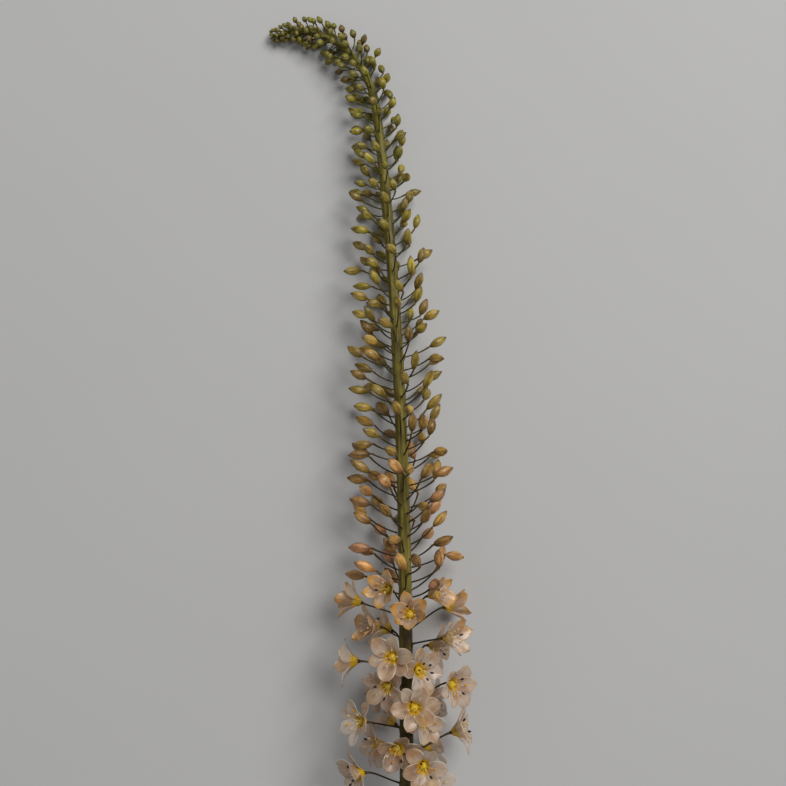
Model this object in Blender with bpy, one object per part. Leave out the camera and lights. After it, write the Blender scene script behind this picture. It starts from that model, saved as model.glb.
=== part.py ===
"""Foxtail lily flower spike, cut with a short length of stalk and laid on its side.

The spike lies along +Y with its nodding tip towards -X, and rests at z = 0 on its own flowers and buds,
as a long cone rests on its side. Every flower site follows one rule: a golden-angle spiral up the axis,
with sizes read from a few stations along it and small seeded variations.
"""

import math
from dataclasses import dataclass

import bpy
import numpy as np

MM = 0.001
UP = np.array((0.0, 0.0, 1.0))
LEVEL = np.array((1.0, 1.0, 0.0))
HINT = np.array((0.3, 0.0, 1.0))  # the first point of a ring lies towards this
NOD_SIDE = np.array((-1.0, 0.0, 0.0))

# Driving dimensions. Distances along the axis are counted from the cut end, in millimetres.
AXIS_LENGTH = 519.0
AXIS_START = (20.2, -242.0)  # plan position of the cut end
AXIS_STEP = 1.0

# The axis leans a little towards -X, then nods over sharply at the tip, and sinks towards the surface.
LEAN_ANGLE, LEAN_END, LEAN_POWER = math.radians(6.5), 412.0, 2.2
NOD_ANGLE, NOD_START, NOD_END, NOD_POWER = math.radians(106.0), 426.0, 517.0, 1.35
BASE_HEIGHT, TIP_HEIGHT, SAG_START, SAG_POWER = 35.0, 4.0, 60.0, 1.35

# Sizes at stations along the axis, from the cut end to the tip.
STATION = (0.0, 54.0, 140.0, 250.0, 330.0, 400.0, 437.0, 470.0, 488.0, 503.0, 519.0)
STEM_RADIUS = (4.0, 3.8, 3.65, 3.25, 3.0, 2.8, 2.3, 1.75, 1.55, 1.4, 0.5)
PEDICEL_LENGTH = (22.0, 22.0, 20.0, 16.5, 13.5, 9.5, 8.2, 6.8, 5.0, 2.8, 0.9)
PEDICEL_RADIUS = (0.52, 0.52, 0.50, 0.46, 0.44, 0.42, 0.40, 0.38, 0.34, 0.30, 0.30)
BUD_LENGTH = (13.5, 13.5, 13.5, 12.4, 10.8, 8.8, 7.4, 5.8, 4.8, 3.8, 2.6)
BUD_WIDTH = (6.4, 6.4, 6.2, 5.6, 5.0, 4.6, 4.4, 4.0, 3.2, 2.6, 1.7)
BUD_SPACING = (1.7, 1.7, 1.6, 1.5, 1.5, 1.45, 1.2, 0.95, 0.75, 0.6, 0.5)

STEM_SIDES = 8
STEM_RING_STEP, TIP_RING_STEP = 16.0, 5.0

# The spiral of flower sites.
FIRST_SITE, LAST_SITE = 54.0, 516.0
BLOOM_COUNT, BLOOM_SPACING = 28, 3.75
GOLDEN_ANGLE = math.radians(137.508)
SPIRAL_PHASE = math.radians(20.0)
SPIRAL_JITTER = math.radians(17.0)
SEED = 11
MOST_SITES, DRAWS = 500, 8
BENT_PEDICEL_END = 330.0
FULL_BUD_END, SMALL_BUD_END = 437.0, 496.0  # full buds, then small buds, then the close cone at the tip
LEFT_OUT = 4  # one bud in four is left out, evenly along the spiral, so that the mesh stays light

# How a pedicel leaves the stem: its rise towards the tip at the root and at the end.
ROOT_RISE, END_RISE, RISE_JITTER = math.radians(14.0), math.radians(42.0), math.radians(14.0)
BUD_TURN, BUD_SWAY = math.radians(-8.0), math.radians(30.0)
BUD_DRIFT = 0.38  # how far the buds turn to the side that the tip nods to
LENGTH_JITTER = 0.22
ROOT_DEPTH = 0.45  # share of the stem's radius at which a root starts
PEDICEL_SIDES, BUD_SIDES = 3, 6
BUD_BELLY, BUD_SHOULDER = 0.44, 0.77
SHOULDER_SHARE = 0.66

# Open flowers. Each one keeps to a sphere of its own, and the spheres are moved apart.
BLOOM_SPHERE, BUD_SPHERE, STEM_CLEAR = 10.0, 6.8, 10.5
BLOOM_REACH, BLOOM_RISE = 23.0, 8.5
BLOOM_STEP = 0.24  # every other flower is nearer to the stem by this share, and the rest are further out
BLOOM_PULL = 0.35  # how far the surface under the spike turns the flowers up round the stem
BLOOM_BACK = 3.4  # from the base of a flower to the middle of its sphere
BLOOM_LEAN, BLOOM_LIFT, BLOOM_SWAY, LOWEST_FACING = 0.10, 0.30, 0.36, -0.35
SPREAD_ROUNDS, SPREAD_PUSH, SPREAD_HOME = 300, 0.5, 0.06
SPREAD_BUDS = 16
BLOOM_SETTLE = 2.2  # how deep a flower's sphere may sink into the surface, where its tepals then lie flat
OPENING_SPAN, LEAST_OPEN, OPEN_JITTER = 11.0, 0.1, 0.25  # the youngest open flowers are still cups
TEPAL_COUNT, TEPAL_LENGTH, TEPAL_THICKNESS = 6, 13.4, 0.6
TEPAL_WIDEST, TEPAL_HALF_WIDTH, TEPAL_CUP = 0.6, 4.0, 0.6
TEPAL_GAP = 0.45  # from a tepal's edge to the plane between it and the next one
THROAT_RADIUS, THROAT_DEPTH = 2.2, 1.1
OPEN_ANGLES = np.radians((28.0, 80.0))
CUP_ANGLES = np.radians((25.0, 42.0))
RECEPTACLE = 1.3
JOINT_GAP = 0.3
OVARY_RINGS = ((0.75, 0.0), (1.7, 1.45), (3.1, 1.55), (4.2, 0.0))  # height and radius
STAMEN_LENGTH, STAMEN_RADIUS, ANTHER_RADIUS, ANTHER_LENGTH = 7.2, 0.30, 0.62, 2.4
STAMEN_SHARE = 0.62  # how far the stamens spread, against the tepals' mean angle
STYLE_LENGTH, STIGMA_LENGTH = 7.6, 1.0

# What lies low is pressed up by the surface: heights bend smoothly to stay above a clearance.
PRESS_SOFTNESS = 1.0
BLADE_CLEARANCE, NEEDLE_CLEARANCE, BUD_CLEARANCE = 0.30, 0.70, 0.05

CREASE_ANGLE = math.radians(50.0)
STALK_COLOUR = (0.21, 0.24, 0.05)
TEPAL_COLOUR = (0.72, 0.60, 0.53)
CENTRE_COLOUR = (0.66, 0.47, 0.06)


@dataclass
class Site:
    """One place on the spiral where a flower grows."""

    number: int
    along: float
    azimuth: float
    draws: np.ndarray


def unit(vector):
    """The vector at length one."""
    return vector / np.linalg.norm(vector)


def at_station(values, along):
    """A size between the stations."""
    return float(np.interp(along, STATION, values))


def pressed(points, clearance):
    """Points with their heights bent up to stay above the clearance: h + sqrt(h^2 + softness^2), halved."""
    points = np.array(points, float)
    height = points[..., 2] - clearance
    points[..., 2] = clearance + (height + np.sqrt(height**2 + PRESS_SOFTNESS**2)) / 2
    return points


def axis_height(along):
    """Height of the axis over the surface."""
    share = np.clip((along - SAG_START) / (AXIS_LENGTH - SAG_START), 0, 1)
    return TIP_HEIGHT + (BASE_HEIGHT - TIP_HEIGHT) * (1 - share**SAG_POWER)


def axis_line():
    """Distances along the axis and the points there, from its heading summed up in small steps."""
    along = np.arange(0, AXIS_LENGTH + AXIS_STEP / 2, AXIS_STEP)
    lean = LEAN_ANGLE * np.clip(along / LEAN_END, 0, 1) ** LEAN_POWER
    nod = NOD_ANGLE * np.clip((along - NOD_START) / (NOD_END - NOD_START), 0, 1) ** NOD_POWER
    heading = lean + nod
    height = axis_height(along)
    level = np.sqrt(AXIS_STEP**2 - np.diff(height) ** 2)
    middle = (heading[1:] + heading[:-1]) / 2
    x = AXIS_START[0] - np.concatenate([[0], np.cumsum(level * np.sin(middle))])
    y = AXIS_START[1] + np.concatenate([[0], np.cumsum(level * np.cos(middle))])
    return along, np.column_stack([x, y, height])


AXIS_ALONG, AXIS_POINTS = axis_line()


def axis_point(along):
    """Point of the axis at a distance from the cut end."""
    return np.array([np.interp(along, AXIS_ALONG, AXIS_POINTS[:, k]) for k in range(3)])


def axis_frame(along):
    """The axis' point, tangent, side and upper direction there."""
    tangent = unit(axis_point(along + AXIS_STEP) - axis_point(along - AXIS_STEP))
    side = unit(np.cross(tangent, UP))
    return axis_point(along), tangent, side, np.cross(side, tangent)


def all_sites():
    """The spiral of sites, the open flowers first, in the order that they grew."""
    draws = np.random.default_rng(SEED).uniform(-1, 1, (MOST_SITES, DRAWS))
    sites = []
    along = FIRST_SITE
    while along < LAST_SITE:
        number = len(sites)
        azimuth = SPIRAL_PHASE + GOLDEN_ANGLE * number + SPIRAL_JITTER * draws[number, 0]
        sites.append(Site(number, along, azimuth, draws[number]))
        open_flower = number < BLOOM_COUNT - 1
        along += BLOOM_SPACING if open_flower else at_station(BUD_SPACING, along)
    return sites


def outward(site, turn=0.0):
    """Direction straight out from the stem at a site, or turned round the stem from there."""
    _, _, side, upper = axis_frame(site.along)
    return math.cos(site.azimuth + turn) * side + math.sin(site.azimuth + turn) * upper


def pedicel_curve(start, first, last, end, count):
    """Points on the cubic curve with these four handles."""
    t = np.linspace(0, 1, count)[:, None]
    return (1 - t) ** 3 * start + 3 * t * (1 - t) ** 2 * first + 3 * t**2 * (1 - t) * last + t**3 * end


def root_point(site):
    """Where the pedicel starts, sunk in the stem."""
    return axis_point(site.along) + outward(site) * at_station(STEM_RADIUS, site.along) * ROOT_DEPTH


def rising(site, rise):
    """Outward direction tilted towards the tip."""
    _, tangent, _, _ = axis_frame(site.along)
    return math.cos(rise) * outward(site) + math.sin(rise) * tangent


def bud_shape(site):
    """The pedicel's three points, the bud's direction, its length and its half width."""
    length = at_station(BUD_LENGTH, site.along) * (1 + 0.5 * LENGTH_JITTER * site.draws[1])
    half_width = at_station(BUD_WIDTH, site.along) / 2 * (1 + 0.4 * LENGTH_JITTER * site.draws[2])
    reach = at_station(PEDICEL_LENGTH, site.along) * (1 + LENGTH_JITTER * site.draws[3])
    root_rise = ROOT_RISE + 0.5 * RISE_JITTER * site.draws[4]
    end_rise = END_RISE + RISE_JITTER * site.draws[4]
    start = root_point(site)
    skin = start + outward(site) * at_station(STEM_RADIUS, site.along) * (1 - ROOT_DEPTH)
    bend = skin + rising(site, root_rise) * reach / 2
    end = bend + rising(site, end_rise) * reach / 2
    path = pedicel_curve(start, skin, bend, end, 3)
    clearance = half_width + BUD_CLEARANCE
    path[1:] = pressed(path[1:], clearance)
    _, tangent, _, _ = axis_frame(site.along)
    sideways = np.cross(tangent, outward(site))
    heading = rising(site, end_rise + BUD_TURN + BUD_SWAY * site.draws[5])
    heading = unit(heading + math.sin(BUD_SWAY) * site.draws[6] * sideways + BUD_DRIFT * NOD_SIDE)
    height = path[-1][2]
    share = np.array((BUD_BELLY, BUD_SHOULDER, 1.0))
    thickness = half_width * np.array((1.0, SHOULDER_SHARE, 0.0))
    lowest = max((BUD_CLEARANCE + thickness - height) / (share * length))
    if heading[2] < lowest:
        heading = unit(heading * LEVEL) * math.sqrt(1 - lowest**2) + UP * lowest
    return path, heading, length, half_width


def across_vector(direction, hint=HINT):
    """A unit vector square to the direction, as close to the hint as it can be."""
    return unit(hint - direction * (hint @ direction))


def ring(centre, direction, radius, sides, hint=HINT):
    """A ring of points about a direction, the first of them towards the hint."""
    across = across_vector(direction, hint)
    other = np.cross(direction, across)
    angles = 2 * math.pi * np.arange(sides) / sides
    return centre + radius * (np.cos(angles)[:, None] * across + np.sin(angles)[:, None] * other)


def ring_chain(centres, directions, radii, sides):
    """Rings in a row, each one turned like the ring before it."""
    rings = []
    hint = HINT
    for centre, direction, radius, count in zip(centres, directions, radii, sides):
        hint = across_vector(direction, hint)
        rings.append(ring(centre, direction, radius, count, hint))
    return rings


def spindle_mesh(rings, tip):
    """Points and faces of a closed body through rings of one size or of twice the size, ending at a tip."""
    points = np.vstack([*rings, tip[None]])
    starts = np.cumsum([0] + [len(r) for r in rings])
    faces = [tuple(range(len(rings[0])))[::-1]]
    for lower, upper, here, there in zip(rings, rings[1:], starts, starts[1:]):
        count, more = len(lower), len(upper)
        for k in range(count):
            a, b = here + k, here + (k + 1) % count
            if more == count:
                faces.append((a, b, there + (k + 1) % count, there + k))
            else:
                c, d, e = there + 2 * k, there + 2 * k + 1, there + (2 * k + 2) % more
                faces += [(a, d, c), (a, b, d), (b, e, d)]
    last = starts[-2]
    sides = len(rings[-1])
    faces += [(last + k, last + (k + 1) % sides, starts[-1]) for k in range(sides)]
    return points, faces


def bud_mesh(site):
    """A bud on its pedicel as one body. The cone's smallest buds sit straight on the stem."""
    path, heading, length, half_width = bud_shape(site)
    thin = at_station(PEDICEL_RADIUS, site.along)
    belly, shoulder = (path[-1] + heading * share * length for share in (BUD_BELLY, BUD_SHOULDER))
    straight = unit(path[-1] - path[0])
    if site.along > SMALL_BUD_END:
        centres, ways = [path[0], belly], [heading, heading]
        radii, sides = [thin, half_width], [PEDICEL_SIDES, BUD_SIDES]
    elif site.along > FULL_BUD_END:
        centres, ways = [path[0], path[-1], belly], [straight, heading, heading]
        radii, sides = [thin, thin, half_width], [PEDICEL_SIDES, PEDICEL_SIDES, BUD_SIDES]
    else:
        centres, ways = list(path), [unit(path[1] - path[0]), straight, unit(path[2] - path[1])]
        if site.along > BENT_PEDICEL_END:
            centres, ways = centres[::2], ways[1:]
        radii = [thin] * len(centres) + [half_width, SHOULDER_SHARE * half_width]
        sides = [PEDICEL_SIDES] * len(centres) + [BUD_SIDES] * 2
        centres, ways = centres + [belly, shoulder], ways + [heading, heading]
    return spindle_mesh(ring_chain(centres, ways, radii, sides), path[-1] + heading * length)


@dataclass
class Bloom:
    """An open flower: its base, the way it faces, its turn about that way and its tepals' angles."""

    site: Site
    base: np.ndarray
    facing: np.ndarray
    turn: float
    angles: np.ndarray

    def to_world(self, local):
        """Local points, with z along the flower's facing, in the model's frame."""
        across = across_vector(self.facing)
        other = np.cross(self.facing, across)
        c, s = math.cos(self.turn), math.sin(self.turn)
        x, y, z = np.asarray(local, float).T
        flat = np.outer(c * x - s * y, across) + np.outer(s * x + c * y, other)
        return self.base + flat + np.outer(z, self.facing)


def spread_apart(homes, radii):
    """Sphere centres moved from their homes until they are clear of each other, the stem and the surface."""
    centres = homes.copy()
    reach = radii[:, None] + radii[None]
    np.fill_diagonal(reach, 0)
    for _ in range(SPREAD_ROUNDS):
        between = centres[:, None] - centres[None]
        distance = np.linalg.norm(between, axis=2) + 1e-9
        short = np.clip(reach - distance, 0, None)
        centres += SPREAD_PUSH * (between / distance[..., None] * short[..., None]).sum(1) / 2
        centres += SPREAD_HOME * (homes - centres)
        near = np.linalg.norm(centres[:, None] - AXIS_POINTS[None, ::3], axis=2)
        closest = AXIS_POINTS[::3][near.argmin(1)]
        away = centres - closest
        room = np.linalg.norm(away, axis=1, keepdims=True)
        centres += away / room * np.clip(STEM_CLEAR + radii[:, None] / 2 - room, 0, None)
        centres[:, 2] = np.maximum(centres[:, 2], radii - BLOOM_SETTLE)
    return centres


def all_blooms(sites):
    """The open flowers, spread clear of each other and of the lowest buds."""
    homes, radii = [], []
    for site in sites[:BLOOM_COUNT]:
        point, tangent, _, _ = axis_frame(site.along)
        step = BLOOM_STEP if site.number % 2 else -BLOOM_STEP
        reach = BLOOM_REACH * (1 + step + 0.5 * LENGTH_JITTER * site.draws[3])
        rise = BLOOM_RISE * (1 + site.draws[4] * 0.5)
        homes.append(point + outward(site, BLOOM_PULL * math.cos(site.azimuth)) * reach + tangent * rise)
        radii.append(BLOOM_SPHERE)
    for site in sites[BLOOM_COUNT:BLOOM_COUNT + SPREAD_BUDS]:
        path, heading, length, _ = bud_shape(site)
        homes.append(path[-1] + heading * length / 2)
        radii.append(BUD_SPHERE)
    centres = spread_apart(np.array(homes), np.array(radii))
    blooms = []
    for site, centre in zip(sites[:BLOOM_COUNT], centres):
        _, tangent, _, _ = axis_frame(site.along)
        away = unit(centre - axis_point(site.along + BLOOM_RISE))
        sideways = np.cross(tangent, away)
        facing = away + BLOOM_LEAN * tangent + BLOOM_LIFT * UP
        facing = unit(facing + BLOOM_SWAY * (site.draws[5] * tangent + site.draws[6] * sideways))
        if facing[2] < LOWEST_FACING:
            facing = unit(facing * LEVEL) * math.sqrt(1 - LOWEST_FACING**2) + UP * LOWEST_FACING
        angles = CUP_ANGLES + openness(site) * (OPEN_ANGLES - CUP_ANGLES)
        blooms.append(Bloom(site, centre - facing * BLOOM_BACK, facing, math.pi * site.draws[7], angles))
    return blooms


def openness(site):
    """How far a flower is open: it falls to a cup among the youngest, and varies a little."""
    share = min((BLOOM_COUNT - 0.5 - site.number) / OPENING_SPAN, 1.0)
    return max(share * (1 - OPEN_JITTER * abs(site.draws[2])), LEAST_OPEN)


def tepal_profile(angles, share):
    """Radius and height along a tepal's middle: its angle from the flower's facing grows evenly to the tip."""
    steps = np.linspace(0, share, 24)
    slope = angles[0] + (angles[1] - angles[0]) * steps
    run = TEPAL_LENGTH * share
    return (THROAT_RADIUS + run * np.sin(slope).mean(), THROAT_DEPTH + run * np.cos(slope).mean())


def tepal_points(angles):
    """Middle surface of the tepals: hub, the points between them, then left, middle, right and tip of each."""
    points = [(0.0, 0.0, 0.0)]
    for k in range(TEPAL_COUNT):
        angle = 2 * math.pi * (k - 0.5) / TEPAL_COUNT
        points.append((THROAT_RADIUS * math.cos(angle), THROAT_RADIUS * math.sin(angle), THROAT_DEPTH))
    for k in range(TEPAL_COUNT):
        angle = 2 * math.pi * k / TEPAL_COUNT
        out = np.array((math.cos(angle), math.sin(angle), 0))
        across = np.array((-math.sin(angle), math.cos(angle), 0))
        radius, height = tepal_profile(angles, TEPAL_WIDEST)
        middle = out * radius + UP * height
        half_width = min(TEPAL_HALF_WIDTH, radius * math.tan(math.pi / TEPAL_COUNT) - TEPAL_GAP)
        edge = UP * TEPAL_CUP
        radius, height = tepal_profile(angles, 1.0)
        points += [middle - across * half_width + edge, middle, middle + across * half_width + edge,
                   out * radius + UP * height]
    return np.array(points)


def tepal_faces():
    """Triangles of the middle surface, and the loop of points round its edge."""
    faces, edge = [], []
    for k in range(TEPAL_COUNT):
        before, after = 1 + k, 1 + (k + 1) % TEPAL_COUNT
        left, middle, right, tip = range(1 + TEPAL_COUNT + 4 * k, 5 + TEPAL_COUNT + 4 * k)
        faces += [(0, before, after), (before, left, middle), (before, middle, after)]
        faces += [(after, middle, right), (left, tip, middle), (middle, tip, right)]
        edge += [before, left, tip, right]
    return faces, edge


def tepals_mesh(bloom):
    """The six tepals of one flower as one thin closed body, thickened along its normals."""
    middle = pressed(bloom.to_world(tepal_points(bloom.angles)), BLADE_CLEARANCE)
    faces, edge = tepal_faces()
    corners = middle[np.array(faces)]
    face_normals = np.cross(corners[:, 1] - corners[:, 0], corners[:, 2] - corners[:, 0])
    normals = np.zeros_like(middle)
    for k in range(3):
        np.add.at(normals, np.array(faces)[:, k], face_normals)
    normals /= np.linalg.norm(normals, axis=1, keepdims=True)
    count = len(middle)
    front = middle + normals * TEPAL_THICKNESS / 2
    back = middle - normals * TEPAL_THICKNESS / 2
    back[0] = middle[0] - bloom.facing * RECEPTACLE
    solid = list(faces) + [tuple(count + i for i in face[::-1]) for face in faces]
    for a, b in zip(edge, edge[1:] + edge[:1]):
        solid += [(b, a, count + a), (b, count + a, count + b)]
    return np.vstack([front, back]), solid


def needle_mesh(start, end, start_radius, end_radius, head):
    """A thin three-sided needle that widens to its head and ends in a point."""
    way = unit(end - start)
    rings = ring_chain([start, end], [way, way], [start_radius, end_radius], [PEDICEL_SIDES] * 2)
    return spindle_mesh(rings, end + way * head)


def ovary_mesh(bloom):
    """A six-sided globe on the flower's axis."""
    bottom, *waist, top = [np.array((0.0, 0.0, height)) for height, _ in OVARY_RINGS]
    rings = [ring(centre, UP, radius, BUD_SIDES) for centre, (_, radius) in zip(waist, OVARY_RINGS[1:])]
    points = np.vstack([bottom[None], *rings, top[None]])
    faces = []
    for k in range(BUD_SIDES):
        low, low_next = 1 + k, 1 + (k + 1) % BUD_SIDES
        high, high_next = low + BUD_SIDES, low_next + BUD_SIDES
        faces += [(0, low_next, low), (low, low_next, high_next, high), (high, high_next, len(points) - 1)]
    return bloom.to_world(points), faces


def stamen_meshes(bloom):
    """The style and the six stamens of one flower, with their roots in the ovary."""
    root = OVARY_RINGS[1][0] + STAMEN_RADIUS
    start, top = bloom.to_world([(0, 0, root), (0, 0, STYLE_LENGTH)])
    meshes = [needle_mesh(start, top, STAMEN_RADIUS, STAMEN_RADIUS, STIGMA_LENGTH)]
    spread = STAMEN_SHARE * sum(bloom.angles) / 2
    for k in range(TEPAL_COUNT):
        angle = 2 * math.pi * k / TEPAL_COUNT
        reach, rise = STAMEN_LENGTH * math.sin(spread), STAMEN_LENGTH * math.cos(spread)
        end = bloom.to_world([(reach * math.cos(angle), reach * math.sin(angle), root + rise)])
        end = pressed(end, NEEDLE_CLEARANCE)[0]
        meshes.append(needle_mesh(start, end, STAMEN_RADIUS, ANTHER_RADIUS, ANTHER_LENGTH))
    return meshes


def add_object(name, points, faces, material):
    """A named object from points in millimetres, with its faces pointing out."""
    mesh = bpy.data.meshes.new(name)
    mesh.from_pydata((np.asarray(points) * MM).tolist(), [], faces)
    mesh.materials.append(material)
    mesh.validate()
    made = bpy.data.objects.new(name, mesh)
    bpy.context.scene.collection.objects.link(made)
    return made


def finish_material(name, colour, roughness):
    """A plain material in the part's colour."""
    material = bpy.data.materials.new(name)
    material.use_nodes = True
    shader = material.node_tree.nodes["Principled BSDF"]
    shader.inputs["Base Color"].default_value = (*colour, 1.0)
    shader.inputs["Roughness"].default_value = roughness
    return material


def join_to(body, meshes, material):
    """One union of these meshes with the body, by a Boolean on their collection, which is then removed."""
    group = bpy.data.collections.new(body.name + "_repeats")
    bpy.context.scene.collection.children.link(group)
    for k, (points, faces) in enumerate(meshes):
        made = add_object(f"{body.name}_repeat_{k}", points, faces, material)
        bpy.context.scene.collection.objects.unlink(made)
        group.objects.link(made)
    union = body.modifiers.new("union", "BOOLEAN")
    union.operation = "UNION"
    union.operand_type = "COLLECTION"
    union.collection = group
    union.solver = "MANIFOLD"
    bpy.context.view_layer.objects.active = body
    bpy.ops.object.modifier_apply(modifier=union.name)
    for made in list(group.objects):
        bpy.data.objects.remove(made)
    bpy.data.collections.remove(group)
    return body


def stem_mesh():
    """The stem: rings along the axis, closer where it nods, with a flat cut end and a pointed tip."""
    straight = np.arange(0, NOD_START, STEM_RING_STEP)
    nodding = np.arange(NOD_START, AXIS_LENGTH - TIP_RING_STEP / 2, TIP_RING_STEP)
    rings = []
    for along in np.concatenate([straight, nodding]):
        point, tangent, side, upper = axis_frame(min(max(along, AXIS_STEP), AXIS_LENGTH - AXIS_STEP))
        point = axis_point(along)
        angles = 2 * math.pi * np.arange(STEM_SIDES) / STEM_SIDES
        spokes = np.cos(angles)[:, None] * side - np.sin(angles)[:, None] * upper
        rings.append(point + at_station(STEM_RADIUS, along) * spokes)
    return spindle_mesh(rings, axis_point(AXIS_LENGTH))


def bloom_pedicel(bloom):
    """The pedicel of an open flower, which ends just short of the flower's base."""
    site = bloom.site
    start = root_point(site)
    skin = start + rising(site, ROOT_RISE) * (at_station(STEM_RADIUS, site.along) + 5.0)
    end = bloom.base - bloom.facing * (RECEPTACLE + JOINT_GAP)
    path = pedicel_curve(start, skin, end - bloom.facing * 5.0, end, 4)
    path[1:] = pressed(path[1:], NEEDLE_CLEARANCE)
    ways = [unit(path[1] - path[0]), unit(path[2] - path[0]), unit(path[3] - path[2])]
    radius = at_station(PEDICEL_RADIUS, site.along)
    return spindle_mesh(ring_chain(path[:-1], ways, [radius] * 3, [PEDICEL_SIDES] * 3), path[-1])


def build_stalk(sites, blooms):
    """The stem with every pedicel and bud grown out of it, as one body."""
    material = finish_material("stalk_green", STALK_COLOUR, 0.55)
    stalk = add_object("flower_stalk", *stem_mesh(), material)
    repeats = [bloom_pedicel(bloom) for bloom in blooms]
    repeats += [bud_mesh(site) for site in sites[BLOOM_COUNT:] if site.number % LEFT_OUT]
    return join_to(stalk, repeats, material)


def build_blooms(blooms):
    """Two nodes for each open flower: its tepals, and its ovary with the stamens."""
    pale = finish_material("tepal_pale", TEPAL_COLOUR, 0.5)
    yellow = finish_material("centre_yellow", CENTRE_COLOUR, 0.6)
    for number, bloom in enumerate(blooms, 1):
        add_object(f"bloom_{number:02d}_tepals", *tepals_mesh(bloom), pale)
        centre = add_object(f"bloom_{number:02d}_centre", *ovary_mesh(bloom), yellow)
        join_to(centre, stamen_meshes(bloom), yellow)


def main():
    for old in list(bpy.data.objects):
        bpy.data.objects.remove(old)
    sites = all_sites()
    blooms = all_blooms(sites)
    build_stalk(sites, blooms)
    build_blooms(blooms)
    for made in bpy.data.objects:
        made.data.shade_smooth()
        made.data.set_sharp_from_angle(angle=CREASE_ANGLE)


main()
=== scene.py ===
"""Foxtail lily flower spike: the looks of a cut spike that lies on its side.

The spike's axis, its spiral of flower sites and the places of its buds and open flowers follow the same
rules as its solids, so every surface made here covers the solid it stands for: a ribbed stem, curved
pedicels with their bracts, furrowed buds, and open flowers with thin veined tepals, an ovary, a style and
stamens. Lengths are in millimetres until a mesh is made.
"""

import logging
import math
from dataclasses import dataclass, field
from enum import Enum
from functools import cached_property

import bpy
import numpy as np
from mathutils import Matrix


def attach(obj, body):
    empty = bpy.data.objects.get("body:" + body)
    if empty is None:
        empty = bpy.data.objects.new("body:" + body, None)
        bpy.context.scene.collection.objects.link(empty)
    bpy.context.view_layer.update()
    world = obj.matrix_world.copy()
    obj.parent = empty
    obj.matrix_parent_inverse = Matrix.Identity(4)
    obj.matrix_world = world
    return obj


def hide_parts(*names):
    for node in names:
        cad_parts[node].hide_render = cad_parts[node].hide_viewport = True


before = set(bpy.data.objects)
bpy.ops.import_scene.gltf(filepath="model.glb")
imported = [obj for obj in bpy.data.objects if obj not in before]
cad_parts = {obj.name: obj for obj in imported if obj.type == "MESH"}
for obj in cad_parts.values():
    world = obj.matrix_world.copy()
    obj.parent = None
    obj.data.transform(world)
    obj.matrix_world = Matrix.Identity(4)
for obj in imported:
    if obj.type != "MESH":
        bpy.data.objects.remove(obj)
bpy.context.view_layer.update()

MM = 0.001
TINY = 1e-9
BODY = "root"
STALK_NODE = "flower_stalk"
UP = np.array((0.0, 0.0, 1.0))
LEVEL = np.array((1.0, 1.0, 0.0))
HINT = np.array((0.3, 0.0, 1.0))
NOD_SIDE = np.array((-1.0, 0.0, 0.0))

Painted = tuple[object, object, object]

log = logging.getLogger("foxtail_lily")


class Slot(Enum):
    """Names of three material slots: stalk, tepals and centre."""

    STALK = "stalk"
    TEPALS = "tepals"
    CENTRE = "centre"


def unit(vectors: np.ndarray) -> np.ndarray:
    """Vectors along the last axis, each divided by its length."""
    return vectors / np.linalg.norm(vectors, axis=-1, keepdims=True)


def across_vectors(directions: np.ndarray, hints: np.ndarray = HINT) -> np.ndarray:
    """Unit vectors square to the directions: each hint less its share along the direction.

    Args:
        directions: Unit vectors, (..., 3).
        hints: Vectors to stay close to, (3,) or (..., 3).

    Returns:
        Unit vectors, (..., 3).
    """
    share = (directions * hints).sum(-1, keepdims=True)
    return unit(hints - directions * share)


def full_turn(count: int) -> np.ndarray:
    """Angles spread evenly round a circle, the first of them 0."""
    return 2 * math.pi * np.arange(count) / count


def circle(angles: np.ndarray, across: np.ndarray, other: np.ndarray) -> np.ndarray:
    """Directions at angles from one direction towards another.

    Args:
        angles: Angles, (k,).
        across: Direction at angle 0, (..., 3).
        other: Direction at a quarter turn, (..., 3).

    Returns:
        Unit vectors, (..., k, 3).
    """
    return np.cos(angles)[:, None] * across[..., None, :] + np.sin(angles)[:, None] * other[..., None, :]


def polar_points(angles: np.ndarray, radius: np.ndarray, height: np.ndarray) -> np.ndarray:
    """Points round the z axis.

    Args:
        angles: Angles, (k,).
        radius: Radii, able to spread to (m, k).
        height: Heights, able to spread to (m, k).

    Returns:
        Points, (m, k, 3).
    """
    return np.stack(np.broadcast_arrays(radius * np.cos(angles), radius * np.sin(angles), height), -1)


def smooth_step(values: np.ndarray, low: float, high: float) -> np.ndarray:
    """Zero below low, one above high, and the cubic 3t^2 - 2t^3 between them."""
    t = np.clip((np.asarray(values, float) - low) / (high - low), 0, 1)
    return t * t * (3 - 2 * t)


def pressed(points: np.ndarray, clearance: np.ndarray | float, softness: float = 1.0) -> np.ndarray:
    """Points whose heights bend up over the clearance: h becomes (h + sqrt(h^2 + softness^2)) / 2.

    Args:
        points: Points, (..., 3).
        clearance: Lowest height that a point may come near to.
        softness: Height over which the bend takes place.

    Returns:
        The bent points, (..., 3).
    """
    bent = np.array(points, float)
    height = bent[..., 2] - clearance
    bent[..., 2] = clearance + (height + np.sqrt(height**2 + softness**2)) / 2
    return bent


def cubic_curve(handles: list[np.ndarray], t: np.ndarray) -> np.ndarray:
    """Cubic curves through their first and last handle, drawn towards the two between.

    Args:
        handles: Four arrays of points, each (n, 3).
        t: Shares of the way along, (m,).

    Returns:
        Points, (n, m, 3).
    """
    start, first, last, end = (handle[:, None] for handle in handles)
    t = t[None, :, None]
    return (1 - t) ** 3 * start + 3 * t * (1 - t) ** 2 * first + 3 * t**2 * (1 - t) * last + t**3 * end


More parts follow.
